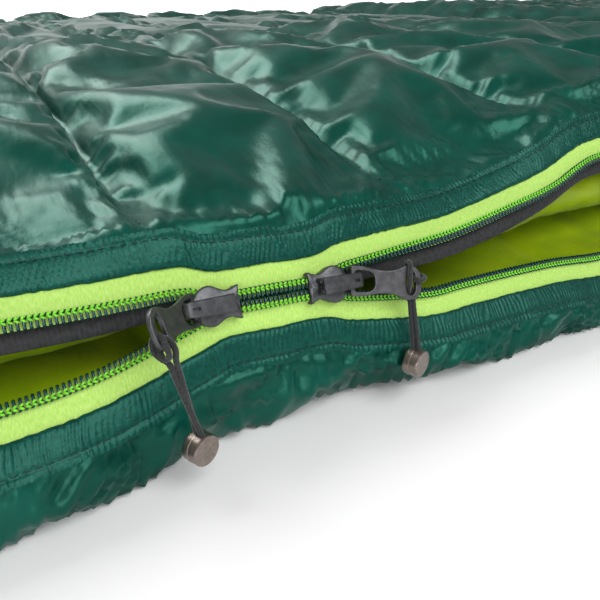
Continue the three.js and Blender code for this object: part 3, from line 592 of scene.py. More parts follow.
def sew(name, edge, starts, stops, radius, finish, sides=6, lengthwise=5, bow=0.0):
    """One grain from each start to its stop; both are (run, across, out)."""
    shape, faces = grain(sides, lengthwise)
    middle, half = (starts + stops) / 2, (stops - starts) / 2
    size = np.linalg.norm(half, axis=1)[:, None]
    along = half / size
    flat = np.cross(along, (0, 0, 1.0))
    flat /= np.linalg.norm(flat, axis=1)[:, None]
    third = np.cross(flat, along)
    local = (middle[:, None] + shape[None, :, :1] * (half[:, None])
             + radius * shape[None, :, 1:2] * flat[:, None] + radius * shape[None, :, 2:] * third[:, None])
    local[..., 2] += bow * (1 - shape[None, :, 0] ** 2)
    points = edge.at(local[..., 0], local[..., 1], local[..., 2])
    many = len(starts)
    all_faces = (np.arange(many)[:, None] * len(shape))
    quads = np.array([f for f in faces if len(f) == 4])
    caps = np.array([f for f in faces if len(f) != 4])
    listed = (quads[None] + all_faces[..., None]).reshape(-1, 4).tolist()
    if len(caps):
        listed += (caps[None] + all_faces[..., None]).reshape(-1, caps.shape[1]).tolist()
    piece = make_piece(name, points, listed, finish, "quilt")
    print(name, many, "stitches")
    return piece


for side, shift in (("upper", 0), ("lower", LOOP / 2)):
    edge = EDGE[side]
    count = int((edge.ends[1] - edge.ends[0] - 9 * MM) / LOOP)
    runs = edge.ends[0] + 4.5 * MM + shift + LOOP * np.arange(count)
    parts = []
    for way in (1, -1):
        start = np.stack([runs - 0.42 * MM, np.full(count, (0.62 + 0.10 * way) * MM),
                          np.full(count, 2.42 * MM)], -1)
        stop = np.stack([runs + 0.62 * MM, np.full(count, (0.62 + 0.66 * way) * MM),
                         np.full(count, 2.3 * MM)], -1)
        parts.append((start, stop))
    starts = np.concatenate([p[0] for p in parts])
    stops = np.concatenate([p[1] for p in parts])
    sew(f"{side}_coil_thread", edge, starts, stops, 0.30 * MM, coil_thread, bow=0.1 * MM)

# %% [markdown]
# ### Gathered strips
# Beside each tape the shell is drawn up by two rows of stitches into fine ribs that lean a little. The ribs
# are about a millimetre apart, which is coarse enough to show in the outline, so they are real relief near
# the sliders: a ridge function of the distance along the edge, with its phase disturbed so that no two ribs
# are alike. Far along the edge the same function is sampled more coarsely.
# %% Gathered strips
STRIP_PROFILE = [(6.75, 0.55), (6.8, 0.95), (7.1, 1.35), (7.7, 1.55), (8.6, 1.62), (9.6, 1.62), (10.7, 1.60),
                 (11.8, 1.58), (12.9, 1.52), (13.8, 1.35), (14.3, 1.15), (14.8, 1.3), (15.6, 1.45),
                 (16.6, 1.2)]
RIB = 1.5 * MM
STRENGTH = {"upper": 0.42 * MM, "lower": 0.17 * MM}


def ribs(side, runs, across):
    lean = 0.75 if side == "upper" else 0.12
    phase = (runs + lean * across) / RIB + 0.9 * smooth_noise(runs / (4 * MM), across / (6 * MM), 3)
    crest = 1 - 2 * np.abs(np.sin(np.pi * phase)) ** 0.8
    uneven = 0.75 + 0.5 * smooth_noise(runs / (2.2 * MM), across / (9 * MM), 5)
    slow = 0.35 * MM * smooth_noise(runs / (7 * MM), across / (20 * MM), 8)
    return STRENGTH[side] * crest * uneven + slow


def gathered(side):
    edge = EDGE[side]
    runs = edge.stations(0.27 * MM, 2.2 * MM)
    rows = np.array(STRIP_PROFILE) * MM
    across = rows[None, :, 0] + 0.18 * MM * smooth_noise(runs / (1.5 * MM), 0.5, 13)[:, None]
    relief = ribs(side, runs[:, None], rows[None, :, 0])
    hold = 1 - 0.75 * np.exp(-((rows[:, 0] - 14.2 * MM) / (0.7 * MM)) ** 2)
    hold[:2] = (0.2, 0.6)
    front = edge.at(runs[:, None], across, rows[None, :, 1] + relief * hold[None, :])
    uv = np.stack(np.broadcast_arrays(runs[:, None], rows[None, :, 0]), -1)
    faces = grid_faces(len(runs), len(rows))
    if side == "upper":
        faces = faces[:, ::-1]
    strip = make_piece(f"{side}_strip_gathered", front, faces, gathered_nylon, "quilt", uv)
    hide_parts(f"{side}_gather_strip")
    print(strip.name, len(faces), "faces")


for side in EDGE:
    gathered(side)
    edge = EDGE[side]
    runs = np.arange(edge.ends[0] + 3 * MM, edge.ends[1] - 3 * MM, 2.5 * MM)
    spread = 0.12 * MM * smooth_noise(runs / (3 * MM), 0.5, 21)
    starts = np.stack([runs - 0.95 * MM, 14.15 * MM + spread, np.full(len(runs), 1.32 * MM)], -1)
    stops = np.stack([runs + 0.95 * MM, 14.15 * MM + spread, np.full(len(runs), 1.32 * MM)], -1)
    sew(f"{side}_strip_stitches", edge, starts, stops, 0.17 * MM, seam_thread, 5, 4, 0.12 * MM)

# %% [markdown]
# ### Facing and end stops
# A charcoal facing behind the upper tape keeps the lining out of the sliders. It is a thin strip that steps
# back behind them. The end stops are metal clips crimped over the last loops of each coil; their rounded
# section is swept along the edge and pinched in the middle, as the crimping tool does.
# %% Facing and stops
facing_line = [(5.4, -1.0), (3.9, -2.0), (1.5, -2.25), (-1.0, -2.45), (-3.2, -2.9), (-5.0, -3.3),
               (-5.15, -3.5),
               (-5.0, -3.75), (-3.2, -3.4), (-1.0, -2.95), (1.5, -2.75), (3.9, -2.5), (5.4, -1.55)]
edge = EDGE["upper"]
runs = edge.stations(2.5 * MM, 12 * MM, 1 * MM)
outline = [(a * MM, h * MM) for a, h in facing_line]
points, faces, uv = closed_strip(edge, runs, outline)
points[..., 1] += 0.2 * MM * smooth_noise(runs / (9 * MM), 0.5, 31)[:, None]
facing = make_piece("facing_strip", points, faces, facing_tape, "quilt", uv)
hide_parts("anti_snag_strip")

for side, edge in EDGE.items():
    for end, sign in (("head", -1), ("foot", 1)):
        finish_run = edge.ends[0 if sign < 0 else 1]
        runs = finish_run - sign * np.linspace(0.1, 3.9, 15)[::-sign] * MM
        turn = np.linspace(0, 2 * np.pi, 20, endpoint=False)
        place = np.linspace(-1, 1, 15)
        size = (1 - np.abs(place) ** 8 * 0.35) * (1 - 0.13 * np.exp(-(place / 0.3) ** 2))
        square = lambda c: np.sign(c) * np.abs(c) ** 0.55
        across = 1.5 * MM * size[:, None] * square(np.cos(turn))[None]
        out = 1.5 * MM + 1.05 * MM * size[:, None] * square(np.sin(turn))[None]
        points = edge.at(runs[:, None], across, out)
        faces = tube_faces(15, 20)
        stop = make_piece(f"{side}_{end}_stop_crimped", points, faces, slider_metal, "quilt")
        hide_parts(f"{side}_{end}_stop")
print("facing and stops made")

# %% [markdown]
# ## The panels
# Each panel is four things: a shell, a lining, loose insulation between them, and seams across the quilt
# every 80 mm that hold it in baffles. The shapes start as the model's own cross-sections, which rays find
# on its surfaces. Cloth simulation then does what hands cannot draw: the fabric is a few percent larger
# than the panel, the seams hold it down, and air pressure in place of insulation swells it into creased
# puffs. A sculpted noise would be quicker but its creases would not run from the seams.
# %% Cross-sections of the model
SEAMS = np.arange(-0.92, 0.93, 0.08)
PANEL_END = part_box("upper_shell")[1].x
LINES = np.concatenate([[-PANEL_END], SEAMS, [PANEL_END]])
FAR_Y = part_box("side_seam")[1].y
print("baffles", len(LINES) - 1, "panel end", round(PANEL_END, 4), "far side", round(FAR_Y, 4))


def tree_of(node):
    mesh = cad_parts[node].data
    return BVHTree.FromPolygons([v.co for v in mesh.vertices], [p.vertices for p in mesh.polygons])


def station_places(node):
    x = np.unique(np.round(corners(node)[:, 0], 5))
    x[0] += 0.1 * MM
    x[-1] -= 0.1 * MM
    return x


def hit_line(tree, origins, direction):
    found = []
    for origin in origins:
        hit = tree.ray_cast(Vector(origin), Vector(direction))[0]
        if hit is not None:
            found.append(tuple(hit))
    return found


def spaced(line, steps, head):
    """Points along a line at the given distances; those after the head stretch to reach its end."""
    line = np.asarray(line)
    run = np.concatenate([[0], np.cumsum(np.linalg.norm(np.diff(line, axis=0), axis=1))])
    places = np.where(steps <= head, steps, head + (steps - head) * (run[-1] - head) / (steps[-1] - head))
    return np.stack([np.interp(places, run, line[:, k]) for k in range(3)], -1)


def sections(node, line_at, steps, head, places):
    xs = station_places(node)
    keyed = np.array([spaced(line_at(x), steps, head) for x in xs])
    return through(xs, keyed, places)


def strip_end(side, x, across=15.6 * MM, out=1.0 * MM):
    edge = EDGE[side]
    point = edge.at(edge.run_at(np.clip(x, -0.975, 0.975)), across, out)
    point = np.array(point)
    point[0] = x
    return tuple(point)


trees = {n: tree_of(n) for n in ("upper_shell", "lower_shell", "upper_lining", "lower_lining")}


def upper_shell_line(x):
    start = strip_end("upper", x)
    y = np.concatenate([np.linspace(start[1] + 1.6 * MM, start[1] + 60 * MM, 80),
                        np.linspace(start[1] + 61 * MM, FAR_Y - 3.2 * MM, 260)])
    return [start, *hit_line(trees["upper_shell"], [(x, v, 0.3) for v in y], (0, 0, -1))]


def lower_shell_line(x):
    start = strip_end("lower", x)
    centre = np.array((x, 0.0, 0.06))
    first = math.atan2(start[2] - 0.06, start[1]) + 0.004
    last = math.atan2(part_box("lower_shell")[1].z - 0.06 - 0.3 * MM, FAR_Y)
    line = [start]
    for angle in np.concatenate([np.linspace(first, first + 0.12, 120),
                                 np.linspace(first + 0.121, last, 500)]):
        out = np.array((0, math.cos(angle), math.sin(angle)))
        hit = trees["lower_shell"].ray_cast(Vector(centre + out), Vector(-out))[0]
        if hit is not None:
            line.append(tuple(hit))
    return line


def lining_line(side, x):
    inner = strip_end(side, x, 10.5 * MM, -0.9 * MM)
    start = strip_end(side, x, 13.0 * MM, -1.0 * MM)
    y = np.linspace(start[1] + 1.0 * MM, FAR_Y - 30 * MM, 300)
    up = side == "upper"
    rays = [(x, v, 0.02 if up else 0.3) for v in y]
    return [inner, start, *hit_line(trees[f"{side}_lining"], rays, (0, 0, 1 if up else -1))]


# %% [markdown]
# The grid of a panel has its lines on the seams, so that a whole line can be held down. It is fine beside
# the sliders and coarse far away.
# %% Grids, puffs and the simulation
def columns(near_count, far_count):
    x, share = [], []
    for a, b in zip(LINES[:-1], LINES[1:]):
        count = near_count if (b > NEAR[0] and a < NEAR[1]) else far_count
        x += list(a + (b - a) * np.arange(count) / count)
        share += list(np.arange(count) / count)
    return np.array(x + [LINES[-1]]), np.array(share + [0.0])


def rows_to(length, near_step, near_to, far_step, growth=1.1):
    steps, step = [0.0], near_step
    while steps[-1] < length:
        if steps[-1] > near_to:
            step = min(far_step, step * growth)
        steps.append(steps[-1] + step)
    return np.array(steps) * (length / steps[-1]) if steps[-1] < near_to else np.array(steps)


def outward(grid):
    normal = np.cross(np.gradient(grid, axis=0), np.gradient(grid, axis=1))
    return normal / np.linalg.norm(normal, axis=2)[..., None]


def swell(start, held, pressure, growth, frames, cap, bending):
    """Cloth between its held points, swollen outward by pressure; returns the moved grid."""
    cols, rows = start.shape[:2]
    piece = make_piece("cloth_at_work", start, grid_faces(cols, rows), shell_nylon, None)
    group = piece.vertex_groups.new(name="held")
    group.add(np.flatnonzero(held.ravel()).tolist(), 1.0, "REPLACE")
    cloth = piece.modifiers.new("cloth", "CLOTH")
    s = cloth.settings
    s.quality = 6
    s.mass = 0.08
    s.tension_stiffness = 18
    s.compression_stiffness = 18
    s.shear_stiffness = 4
    s.bending_stiffness = bending
    s.tension_damping = 8
    s.compression_damping = 8
    s.shear_damping = 8
    s.bending_damping = 0.6
    s.air_damping = 3
    s.use_pressure = True
    s.uniform_pressure_force = pressure
    s.shrink_min = -growth
    s.shrink_max = -growth
    s.vertex_group_mass = "held"
    s.effector_weights.gravity = 0
    cloth.collision_settings.use_collision = False
    cloth.point_cache.frame_start = 1
    cloth.point_cache.frame_end = frames
    scene = bpy.context.scene
    for number in range(1, frames + 1):
        scene.frame_set(number)
    done = piece.evaluated_get(bpy.context.evaluated_depsgraph_get()).to_mesh()
    moved = np.empty(len(done.vertices) * 3)
    done.vertices.foreach_get("co", moved)
    moved = moved.reshape(start.shape)
    bpy.data.objects.remove(piece)
    scene.frame_set(1)
    shift = moved - start
    size = np.linalg.norm(shift, axis=2)[..., None]
    return start + shift * np.minimum(1, cap / np.maximum(size, 1e-9))


def puffed(x_share, distance, crest, valley, soft=0.045):
    """Height over the base surface: a valley at each seam and a full crown between."""
    crown = np.clip(4 * x_share * (1 - x_share), 0, 1) ** 0.6
    ease = smooth_step(0, soft, distance)
    return (crown * (crest + valley) - valley) * ease


print("panel helpers ready")

# %% [markdown]
# ### Shells
# The upper shell runs from the gathered strip over the top to the far seam; the lower one bulges out below
# the zip, turns under and lies flat. After the simulation both are sampled again on a finer grid, which
# leaves room for the small puckers that the gathering stitches throw into the first centimetres.
# %% Shells
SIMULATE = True
FRAMES = 18                       # the cloth has come to rest by then
BENDING = {"upper": 2.5, "lower": 0.7}


def shell(side, line_at, length, head, near_to, coarse, fine, crest, valley, pressure, growth, cap):
    node = f"{side}_shell"
    x, share = columns(*coarse[0])
    steps = rows_to(length, *coarse[1])
    base = sections(node, line_at, steps, head, x)
    normal = outward(base)
    if (side == "upper") != (normal[len(x) // 2, len(steps) // 2, 2] > 0):
        normal = -normal
    length_here = steps[None, :] * np.ones((len(x), 1))
    rest = np.minimum(length_here, (steps[-1] - length_here) + 0.01)
    height = puffed(share[:, None], rest, crest(x)[:, None], valley)
    fold = smooth_noise(x[:, None] / 0.021 + 0.5 * length_here / 0.02, length_here / 0.055, 41)
    fold = fold + 0.6 * smooth_noise(x[:, None] / 0.012, length_here / 0.02, 43)
    height = height + 1.5 * MM * fold * smooth_step(0.004, 0.04, rest) * (share[:, None] > 0)
    start = base + height[..., None] * normal
    held = np.zeros(start.shape[:2], bool)
    held[:, 0] = held[:, -1] = True
    held[0] = held[-1] = True
    held[np.isin(np.round(x, 6), np.round(SEAMS, 6))] = True
    if side == "lower":
        held |= (start[..., 2] < 1.2 * MM) & (np.abs(start[..., 1]) < 0.36)
    moved = swell(start, held, pressure, growth, FRAMES, cap, BENDING[side]) if SIMULATE else start
    fine_x, fine_share = columns(*fine[0])
    fine_steps = rows_to(length, *fine[1])
    moved = through(x, moved, fine_x)
    moved = np.swapaxes(through(steps, np.swapaxes(moved, 0, 1), fine_steps), 0, 1)
    return moved, fine_x, fine_share, fine_steps


def add_puckers(side, grid, x, steps, size, least=0.010):
    normal = outward(grid)
    if (side == "upper") != (normal[len(x) // 2, len(steps) // 2, 2] > 0):
        normal = -normal
    lean = 0.35 * steps[None, :]
    phase = (x[:, None] + lean) / 4.6e-3 + 1.3 * smooth_noise(x[:, None] / 0.016, steps[None, :] / 0.02, 51)
    reach = least + 0.012 * (1 + smooth_noise(x[:, None] / 0.009, 0.5, 53))
    fade = np.exp(-steps[None, :] / reach) * smooth_step(0, 2.5e-3, steps[None, :])
    seam = np.min(np.abs(x[:, None] - SEAMS[None, :]), axis=1)[:, None]
    along = np.sin(2 * np.pi * steps[None, :] / 6.5e-3
                   + 5 * smooth_noise(x[:, None] / 0.03, steps[None, :] / 0.03, 57))
    pull = np.exp(-seam / 4e-3) * (1 - np.exp(-seam / 1.2e-3)) * smooth_step(0.01, 0.03, steps[None, :])
    height = size * np.sin(2 * np.pi * phase) * fade + 0.55 * size * along * pull
    return grid + height[..., None] * normal


def upper_crest(x):
    return 4.5 * MM + 0 * x


def lower_crest(x):
    near_bead = np.exp(-((x - 0.026) / 0.018) ** 2)
    return (4.2 - 3.4 * near_bead) * MM


upper_grid, fine_x, fine_share, upper_steps = shell(
    "upper", upper_shell_line, 0.86, 0.235, 0.235, ((20, 8), (4e-3, 0.23, 15e-3)),
    ((46, 9), (1.6e-3, 0.05, 12e-3, 1.045)), upper_crest, 7 * MM, 3.2, 0.035, 9 * MM)
upper_grid = add_puckers("upper", upper_grid, fine_x, upper_steps, 0.9 * MM)
lower_grid, fine_x, fine_share, lower_steps = shell(
    "lower", lower_shell_line, 0.88, 0.05, 0.05, ((20, 8), (2.6e-3, 0.05, 25e-3)),
    ((46, 9), (1.3e-3, 0.05, 22e-3, 1.12)), lower_crest, 3.5 * MM, 3.0, 0.035, 6 * MM)
lower_grid = add_puckers("lower", lower_grid, fine_x, lower_steps, 1.1 * MM, 0.022)
lower_grid[..., 2] = np.maximum(lower_grid[..., 2], 0.25 * MM)

for side, grid in (("upper", upper_grid), ("lower", lower_grid)):
    faces = grid_faces(*grid.shape[:2])
    middle = outward(grid)[grid.shape[0] // 2, grid.shape[1] // 2, 2]
    if (side == "upper") != (middle > 0):
        faces = faces[:, ::-1]
    piece = make_piece(f"{side}_shell_cloth", grid, faces, shell_nylon, "quilt")
    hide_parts(f"{side}_shell")
    print(piece.name, len(faces), "faces")

# %% [markdown]
# ### Linings
# The linings show through the open stretches of the zip. They are cut a little fuller than the shells and
# hang in soft folds between the same seams, so a sculpted height is enough here: a puff for each baffle,
# long folds that run in from the tape, and short puckers at its stitches.
# %% Linings
def lining(side):
    x, share = columns(40, 9)
    steps = rows_to(0.84, 1.8e-3, 0.07, 16e-3, 1.06)
    grid = sections(f"{side}_lining", lambda v: lining_line(side, v), steps, 0.07, x)
    normal = outward(grid)
    if (side == "upper") == (normal[len(x) // 2, len(steps) // 2, 2] > 0):
        normal = -normal
    far = steps[None, :] * np.ones((len(x), 1))
    height = puffed(share[:, None], far, 3.4 * MM, 1.4 * MM, 0.03)
    slow = smooth_noise(x[:, None] / 0.017 + far / 0.05, far / 0.045, 61)
    quick = smooth_noise(x[:, None] / 0.008, far / 0.016, 63)
    ease = smooth_step(0.003, 0.03, far)
    height = height + (1.5 * slow + 0.6 * quick) * MM * ease
    pucker = np.sin(2 * np.pi * (x[:, None] / 5.2e-3 + smooth_noise(x[:, None] / 0.02, far / 0.02, 65)))
    height = height + 0.5 * MM * pucker * np.exp(-far / 9e-3) * smooth_step(0, 2e-3, far)
    grid = grid + height[..., None] * normal
    faces = grid_faces(*grid.shape[:2])
    middle = outward(grid)[grid.shape[0] // 2, grid.shape[1] // 2, 2]
    if (side == "upper") == (middle > 0):
        faces = faces[:, ::-1]
    piece = make_piece(f"{side}_lining_cloth", grid, faces, lining_nylon, "quilt")
    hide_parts(f"{side}_lining")
    print(piece.name, len(faces), "faces")
    return piece, grid, x, steps


linings = {side: lining(side) for side in ("upper", "lower")}

# %% [markdown]
# ### Draft tube
# Behind the zip hangs a puffed tube of lining that stops the wind. It is a closed ring swept along the
# edge: full between the seams, pinched at each of them, and creased where it bends.
# %% Draft tube
tube_low, tube_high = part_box("draft_tube")
TUBE_R = 7.5 * MM
TUBE_Z = (tube_low.z + tube_high.z) / 2
edge = EDGE["upper"]
runs = edge.stations(2.0 * MM, 9 * MM, 14 * MM)
middle = edge.at(runs, 0.0, 0.0)
middle[:, 1] += 17.5 * MM
middle[:, 2] = TUBE_Z
turn = np.linspace(0, 2 * np.pi, 36, endpoint=False)
share = ((middle[:, 0] - SEAMS[0]) / 0.08) % 1
pinch = 0.80 + 0.25 * np.clip(4 * share * (1 - share), 0, 1) ** 0.5
crease = smooth_noise(runs[:, None] / 0.007, turn[None] * 1.6,
                      71) + 0.6 * smooth_noise(runs[:, None] / 0.0035, turn[None] * 2.5, 73)
radius = TUBE_R * (pinch[:, None] + 0.055 * crease)
points = np.stack([middle[:, None, 0] + 0 * radius, middle[:, None, 1] + radius * np.cos(turn),
                   middle[:, None, 2] + radius * np.sin(turn)], -1)
faces = tube_faces(len(runs), 36)
draft = make_piece("draft_tube_puffed", points, faces, lining_nylon, "quilt")
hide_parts("draft_tube")
print("draft tube", len(faces), "faces")

# %% [markdown]
# ### Insulation
# The fill is never seen on a whole quilt, but the part would be hollow without it. Each baffle gets one
# soft closed pillow between shell and lining, and the pillows of a panel are one piece.
# %% Insulation
def pillows(side, low_of, high_of):
    points, faces = [], []
    rows, cols = 7, 13
    for a, b in zip(LINES[:-1], LINES[1:]):
        u = np.linspace(-1, 1, rows)
        v = np.linspace(-1, 1, cols)
        x = (a + b) / 2 + (b - a) * 0.455 * u
        y = (FAR_Y - 0.390) / 2 + 0.352 * v
        low = np.array([[low_of(p, q) for q in y] for p in x])
        high = np.array([[high_of(p, q) for q in y] for p in x])
        full = (np.sqrt(np.clip(1 - np.abs(u) ** 3, 0, 1))[:, None]
                * np.sqrt(np.clip(1 - np.abs(v) ** 8, 0, 1))[None])
        middle, half = (low + high) / 2, (high - low) / 2 * full
        grid_x, grid_y = np.meshgrid(x, y, indexing="ij")
        top = np.stack([grid_x, grid_y, middle + half], -1).reshape(-1, 3)
        under = np.stack([grid_x, grid_y, middle - half], -1).reshape(-1, 3)
        base = sum(len(p) for p in points)
        count = rows * cols
        sheet = grid_faces(rows, cols)
        points += [top, under]
        faces += (sheet + base).tolist() + (sheet[:, ::-1] + base + count).tolist()
        rim = ([j for j in range(cols)] + [i * cols + cols - 1 for i in range(1, rows)]
               + [(rows - 1) * cols + j for j in range(cols - 2, -1, -1)]
               + [i * cols for i in range(rows - 2, 0, -1)])
        for p, q in zip(rim, rim[1:] + rim[:1]):
            faces.append([base + p, base + p + count, base + q + count, base + q])
    piece = make_piece(f"{side}_insulation", np.concatenate(points), faces, insulation, "quilt")
    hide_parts(f"{side}_fill")
    print(piece.name, len(LINES) - 1, "pillows")


def height_in(node, up, margin, otherwise):
    def find(x, y):
        start = (x, y, 0.0 if up else 0.3)
        hit = trees[node].ray_cast(Vector(start), Vector((0, 0, 1 if up else -1)))[0]
        return (hit.z if hit is not None else otherwise) + margin
    return find


pillows("upper", height_in("upper_lining", False, 3.5 * MM, 0.052),
        height_in("upper_shell", True, -10 * MM, 0.07))
pillows("lower", height_in("lower_shell", False, 4 * MM, 0.003),
        height_in("lower_lining", True, -3 * MM, 0.026))

# %% [markdown]
# ### Ends and far side
# At the open head end shell and lining of each panel are turned in together, and at the foot end the two
# shells meet in a closed wall. Both are soft rolls that bulge out of the end, puckered by their stitches.
# They are swept from one edge to the other along half an ellipse.
# %% Ends of the panels
def end_roll(name, top, bottom, end, bulge, node, finish):
    """A puckered roll from a line of points above to a line below, standing out along X."""
    y = np.linspace(max(top[0, 1], bottom[0, 1]) + 0.5 * MM, min(top[-1, 1], bottom[-1, 1]) - 0.5 * MM, 320)
    high = np.interp(y, top[:, 1], top[:, 2])
    low = np.interp(y, bottom[:, 1], bottom[:, 2])
    turn = np.linspace(0, np.pi, 15)
    tuck = 0.5 * MM * np.sin(2 * np.pi * y / 0.011 + 2 * smooth_noise(y / 0.05, 0.5, 81))
    tuck = tuck + 0.8 * MM * smooth_noise(y / 0.02, 0.5, 83)
    reach = (bulge + tuck[:, None]) * np.sin(turn)[None] ** 0.8
    z = (high + low)[:, None] / 2 + (high - low)[:, None] / 2 * np.cos(turn)[None]
    points = np.stack([end * (PANEL_END - 1.5 * MM + reach), y[:, None] + 0 * reach, z], -1)
    faces = grid_faces(len(y), len(turn))
    if end > 0:
        faces = faces[:, ::-1]
    piece = make_piece(name, points, faces, finish, "quilt")
    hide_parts(node)
    print(name, len(faces), "faces")


def by_side(line):
    line = np.asarray(line)
    keep = np.concatenate([[True], np.diff(np.maximum.accumulate(line[:, 1])) > 1e-6])
    return line[keep]


def lower_outline(line):
    line = np.asarray(line)
    return line[int(np.argmin(line[:, 1])):]


upper_head, upper_foot = upper_grid[0], upper_grid[-1]
lower_head, lower_foot = lower_outline(lower_grid[0]), lower_outline(lower_grid[-1])
end_roll("head_roll_upper", by_side(upper_head), by_side(linings["upper"][1][0]), -1, 7.5 * MM,
         "upper_head_binding", binding)
end_roll("head_roll_lower", by_side(linings["lower"][1][0]), by_side(lower_head), -1, 7.5 * MM,
         "lower_head_binding", binding)
end_roll("foot_wall", by_side(upper_foot), by_side(lower_foot), 1, 7.5 * MM, "foot_panel", shell_nylon)

# %% Far side seam
seam_low, seam_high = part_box("side_seam")
x = np.linspace(seam_low.x, seam_high.x, 1100)
turn = np.linspace(0, 2 * np.pi, 18, endpoint=False)
wander = 0.5 * MM * smooth_noise(x / 0.03, 0.5, 91) + 0.25 * MM * np.sin(2 * np.pi * x / 0.0062)
high = (seam_high.z - seam_low.z) / 2 + 2.2 * MM
points = np.stack([x[:, None] + 0 * turn,
                   (FAR_Y - 1.2 * MM + wander)[:, None] + 2.2 * MM * np.cos(turn)[None],
                   (seam_low.z + seam_high.z) / 2 + (high + wander)[:, None] * np.sin(turn)[None]], -1)
faces = tube_faces(len(x), 18)
far_seam = make_piece("far_seam_bound", points, faces, binding, "quilt")
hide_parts("side_seam")
print("far seam", len(faces), "faces")

# %% [markdown]
# ### Seams of the baffles
# A row of small stitches lies in the valley of each seam. Their places are read from the simulated cloth,
# so that they follow it wherever it went.
# %% Baffle stitches
def stitch_rows(side, grid, x, steps, finish):
    shape, faces = grain(5, 4)
    places, ways = [], []
    for seam in SEAMS:
        i = int(np.argmin(np.abs(x - seam)))
        line = grid[i]
        run = np.concatenate([[0], np.cumsum(np.linalg.norm(np.diff(line, axis=0), axis=1))])
        near = NEAR[0] < seam < NEAR[1]
        at = np.arange(0.006, min(run[-1] - 0.006, 0.3 if near else run[-1]), 2.8e-3 if near else 7e-3)
        spot = np.stack([np.interp(at, run, line[:, k]) for k in range(3)], -1)
        step = np.stack([np.interp(at + 1e-3, run, line[:, k]) for k in range(3)], -1) - spot
        places.append(spot)
        ways.append(step / np.linalg.norm(step, axis=1)[:, None])
    spot, way = np.concatenate(places), np.concatenate(ways)
    flat = np.cross(way, (1.0, 0, 0))
    flat /= np.linalg.norm(flat, axis=1)[:, None]
    third = np.cross(flat, way)
    points = (spot[:, None] + 1.0 * MM * shape[None, :, :1] * way[:, None]
              + 0.2 * MM * shape[None, :, 1:2] * flat[:, None]
              + 0.2 * MM * shape[None, :, 2:] * third[:, None])
    listed = []
    quads = np.array([f for f in faces if len(f) == 4])
    caps = np.array([f for f in faces if len(f) != 4])
    offset = (np.arange(len(spot)) * len(shape))[:, None, None]
    listed = ((quads[None] + offset).reshape(-1, 4).tolist()
              + (caps[None] + offset).reshape(-1, caps.shape[1]).tolist())
    make_piece(f"{side}_baffle_stitches", points, listed, finish, "quilt")
    print(side, "baffle stitches", len(spot))


stitch_rows("upper", upper_grid, fine_x, upper_steps, seam_thread)
stitch_rows("lower", lower_grid, fine_x, lower_steps, seam_thread)

# %% [markdown]
# ## Sliders
# A slider is cast: two plates joined by a post at its nose, with a flange down each side of the upper
# plate. Seen from above it is a fish tail that swells to a rounded head, with a ridge down its middle and
# facets falling to a thin edge. Rings of the same outline, each a little smaller and higher than the last,
# give those facets exactly, where a bevel on a flat plate would only round its rim.
# %% Slider bodies
HALF_OUTLINE = [(0.0, 0.0), (0.15, 2.2), (-0.25, 4.3), (0.5, 4.35), (1.5, 3.75), (2.8, 3.45), (4.2, 3.62),
                (5.6, 4.3),
                (6.9, 5.0), (8.0, 5.2), (9.2, 5.0), (10.5, 4.35), (11.6, 3.35), (12.4, 1.9), (12.75, 0.7)]


def body_outline(count=96):
    upper = np.array(HALF_OUTLINE[1:])
    line = np.concatenate([[HALF_OUTLINE[0]], upper, [(12.8, 0.0)], (upper * (1, -1))[::-1]])
    closed = np.concatenate([line, line[:1]])
    run = np.concatenate([[0], np.cumsum(np.linalg.norm(np.diff(closed, axis=0), axis=1))])
    at = np.linspace(0, run[-1], count, endpoint=False)
    return np.stack([np.interp(at, run, closed[:, k]) for k in range(2)], -1)


def faceted_plate(outline, levels):
    """Rings of an outline drawn in toward the middle line; levels are (share drawn in, height)."""
    spine = np.stack([np.clip(outline[:, 0], 1.6, 10.8), 0 * outline[:, 1]], -1)
    rings = []
    for share, height in levels:
        flat = outline * (1 - share) + spine * share
        rings.append(np.concatenate([flat, np.full((len(flat), 1), height)], 1))
    return np.array(rings)


def ring_faces(count, sides, caps=True, loop=False):
    faces = [list(f) for f in grid_faces(count, sides, closed=True)]
    if loop:
        faces += [[(count - 1) * sides + k, (count - 1) * sides + (k + 1) % sides, (k + 1) % sides,
                   k] for k in range(sides)]
    elif caps:
        faces += [list(range(sides))[::-1], [(count - 1) * sides + k for k in range(sides)]]
    return faces


def gathered_parts(parts):
    points, faces, base = [], [], 0
    for part_points, part_faces in parts:
        part_points = np.asarray(part_points).reshape(-1, 3)
        points.append(part_points)
        faces += [[base + k for k in f] for f in part_faces]
        base += len(part_points)
    return np.concatenate(points), faces


def flange(side):
    s = np.linspace(0.35, 8.9, 30)
    outline = np.array([p for p in HALF_OUTLINE[2:]])
    edge_w = np.interp(s, outline[:, 0], outline[:, 1]) - 0.12
    low = 0.75 + 0.5 * np.clip((s - 7.4) / 1.5, 0, 1)
    section = [(0, 0), (0, 1), (-0.66, 1), (-0.7, 0.12), (-0.55, 0)]
    rings = [[(a, side * (w + dw), l + t * (2.95 - l)) for dw, t in section] for a, w,
             l in zip(s, edge_w, low)]
    faces = ring_faces(len(s), len(section))
    if side < 0:
        faces = [f[::-1] for f in faces]
    return np.array(rings), faces


def post():
    count = 28
    turn = np.linspace(0, 2 * np.pi, count, endpoint=False)
    s = 10.55 + 1.7 * np.cos(turn)
    w = 1.35 * np.sin(turn) * np.clip((s - 8.7) / 1.6, 0.15, 1)
    rings = [np.stack([s, w, np.full(count, h)], -1) for h in np.linspace(-0.9, 2.9, 5)]
    return np.array(rings), ring_faces(5, count)


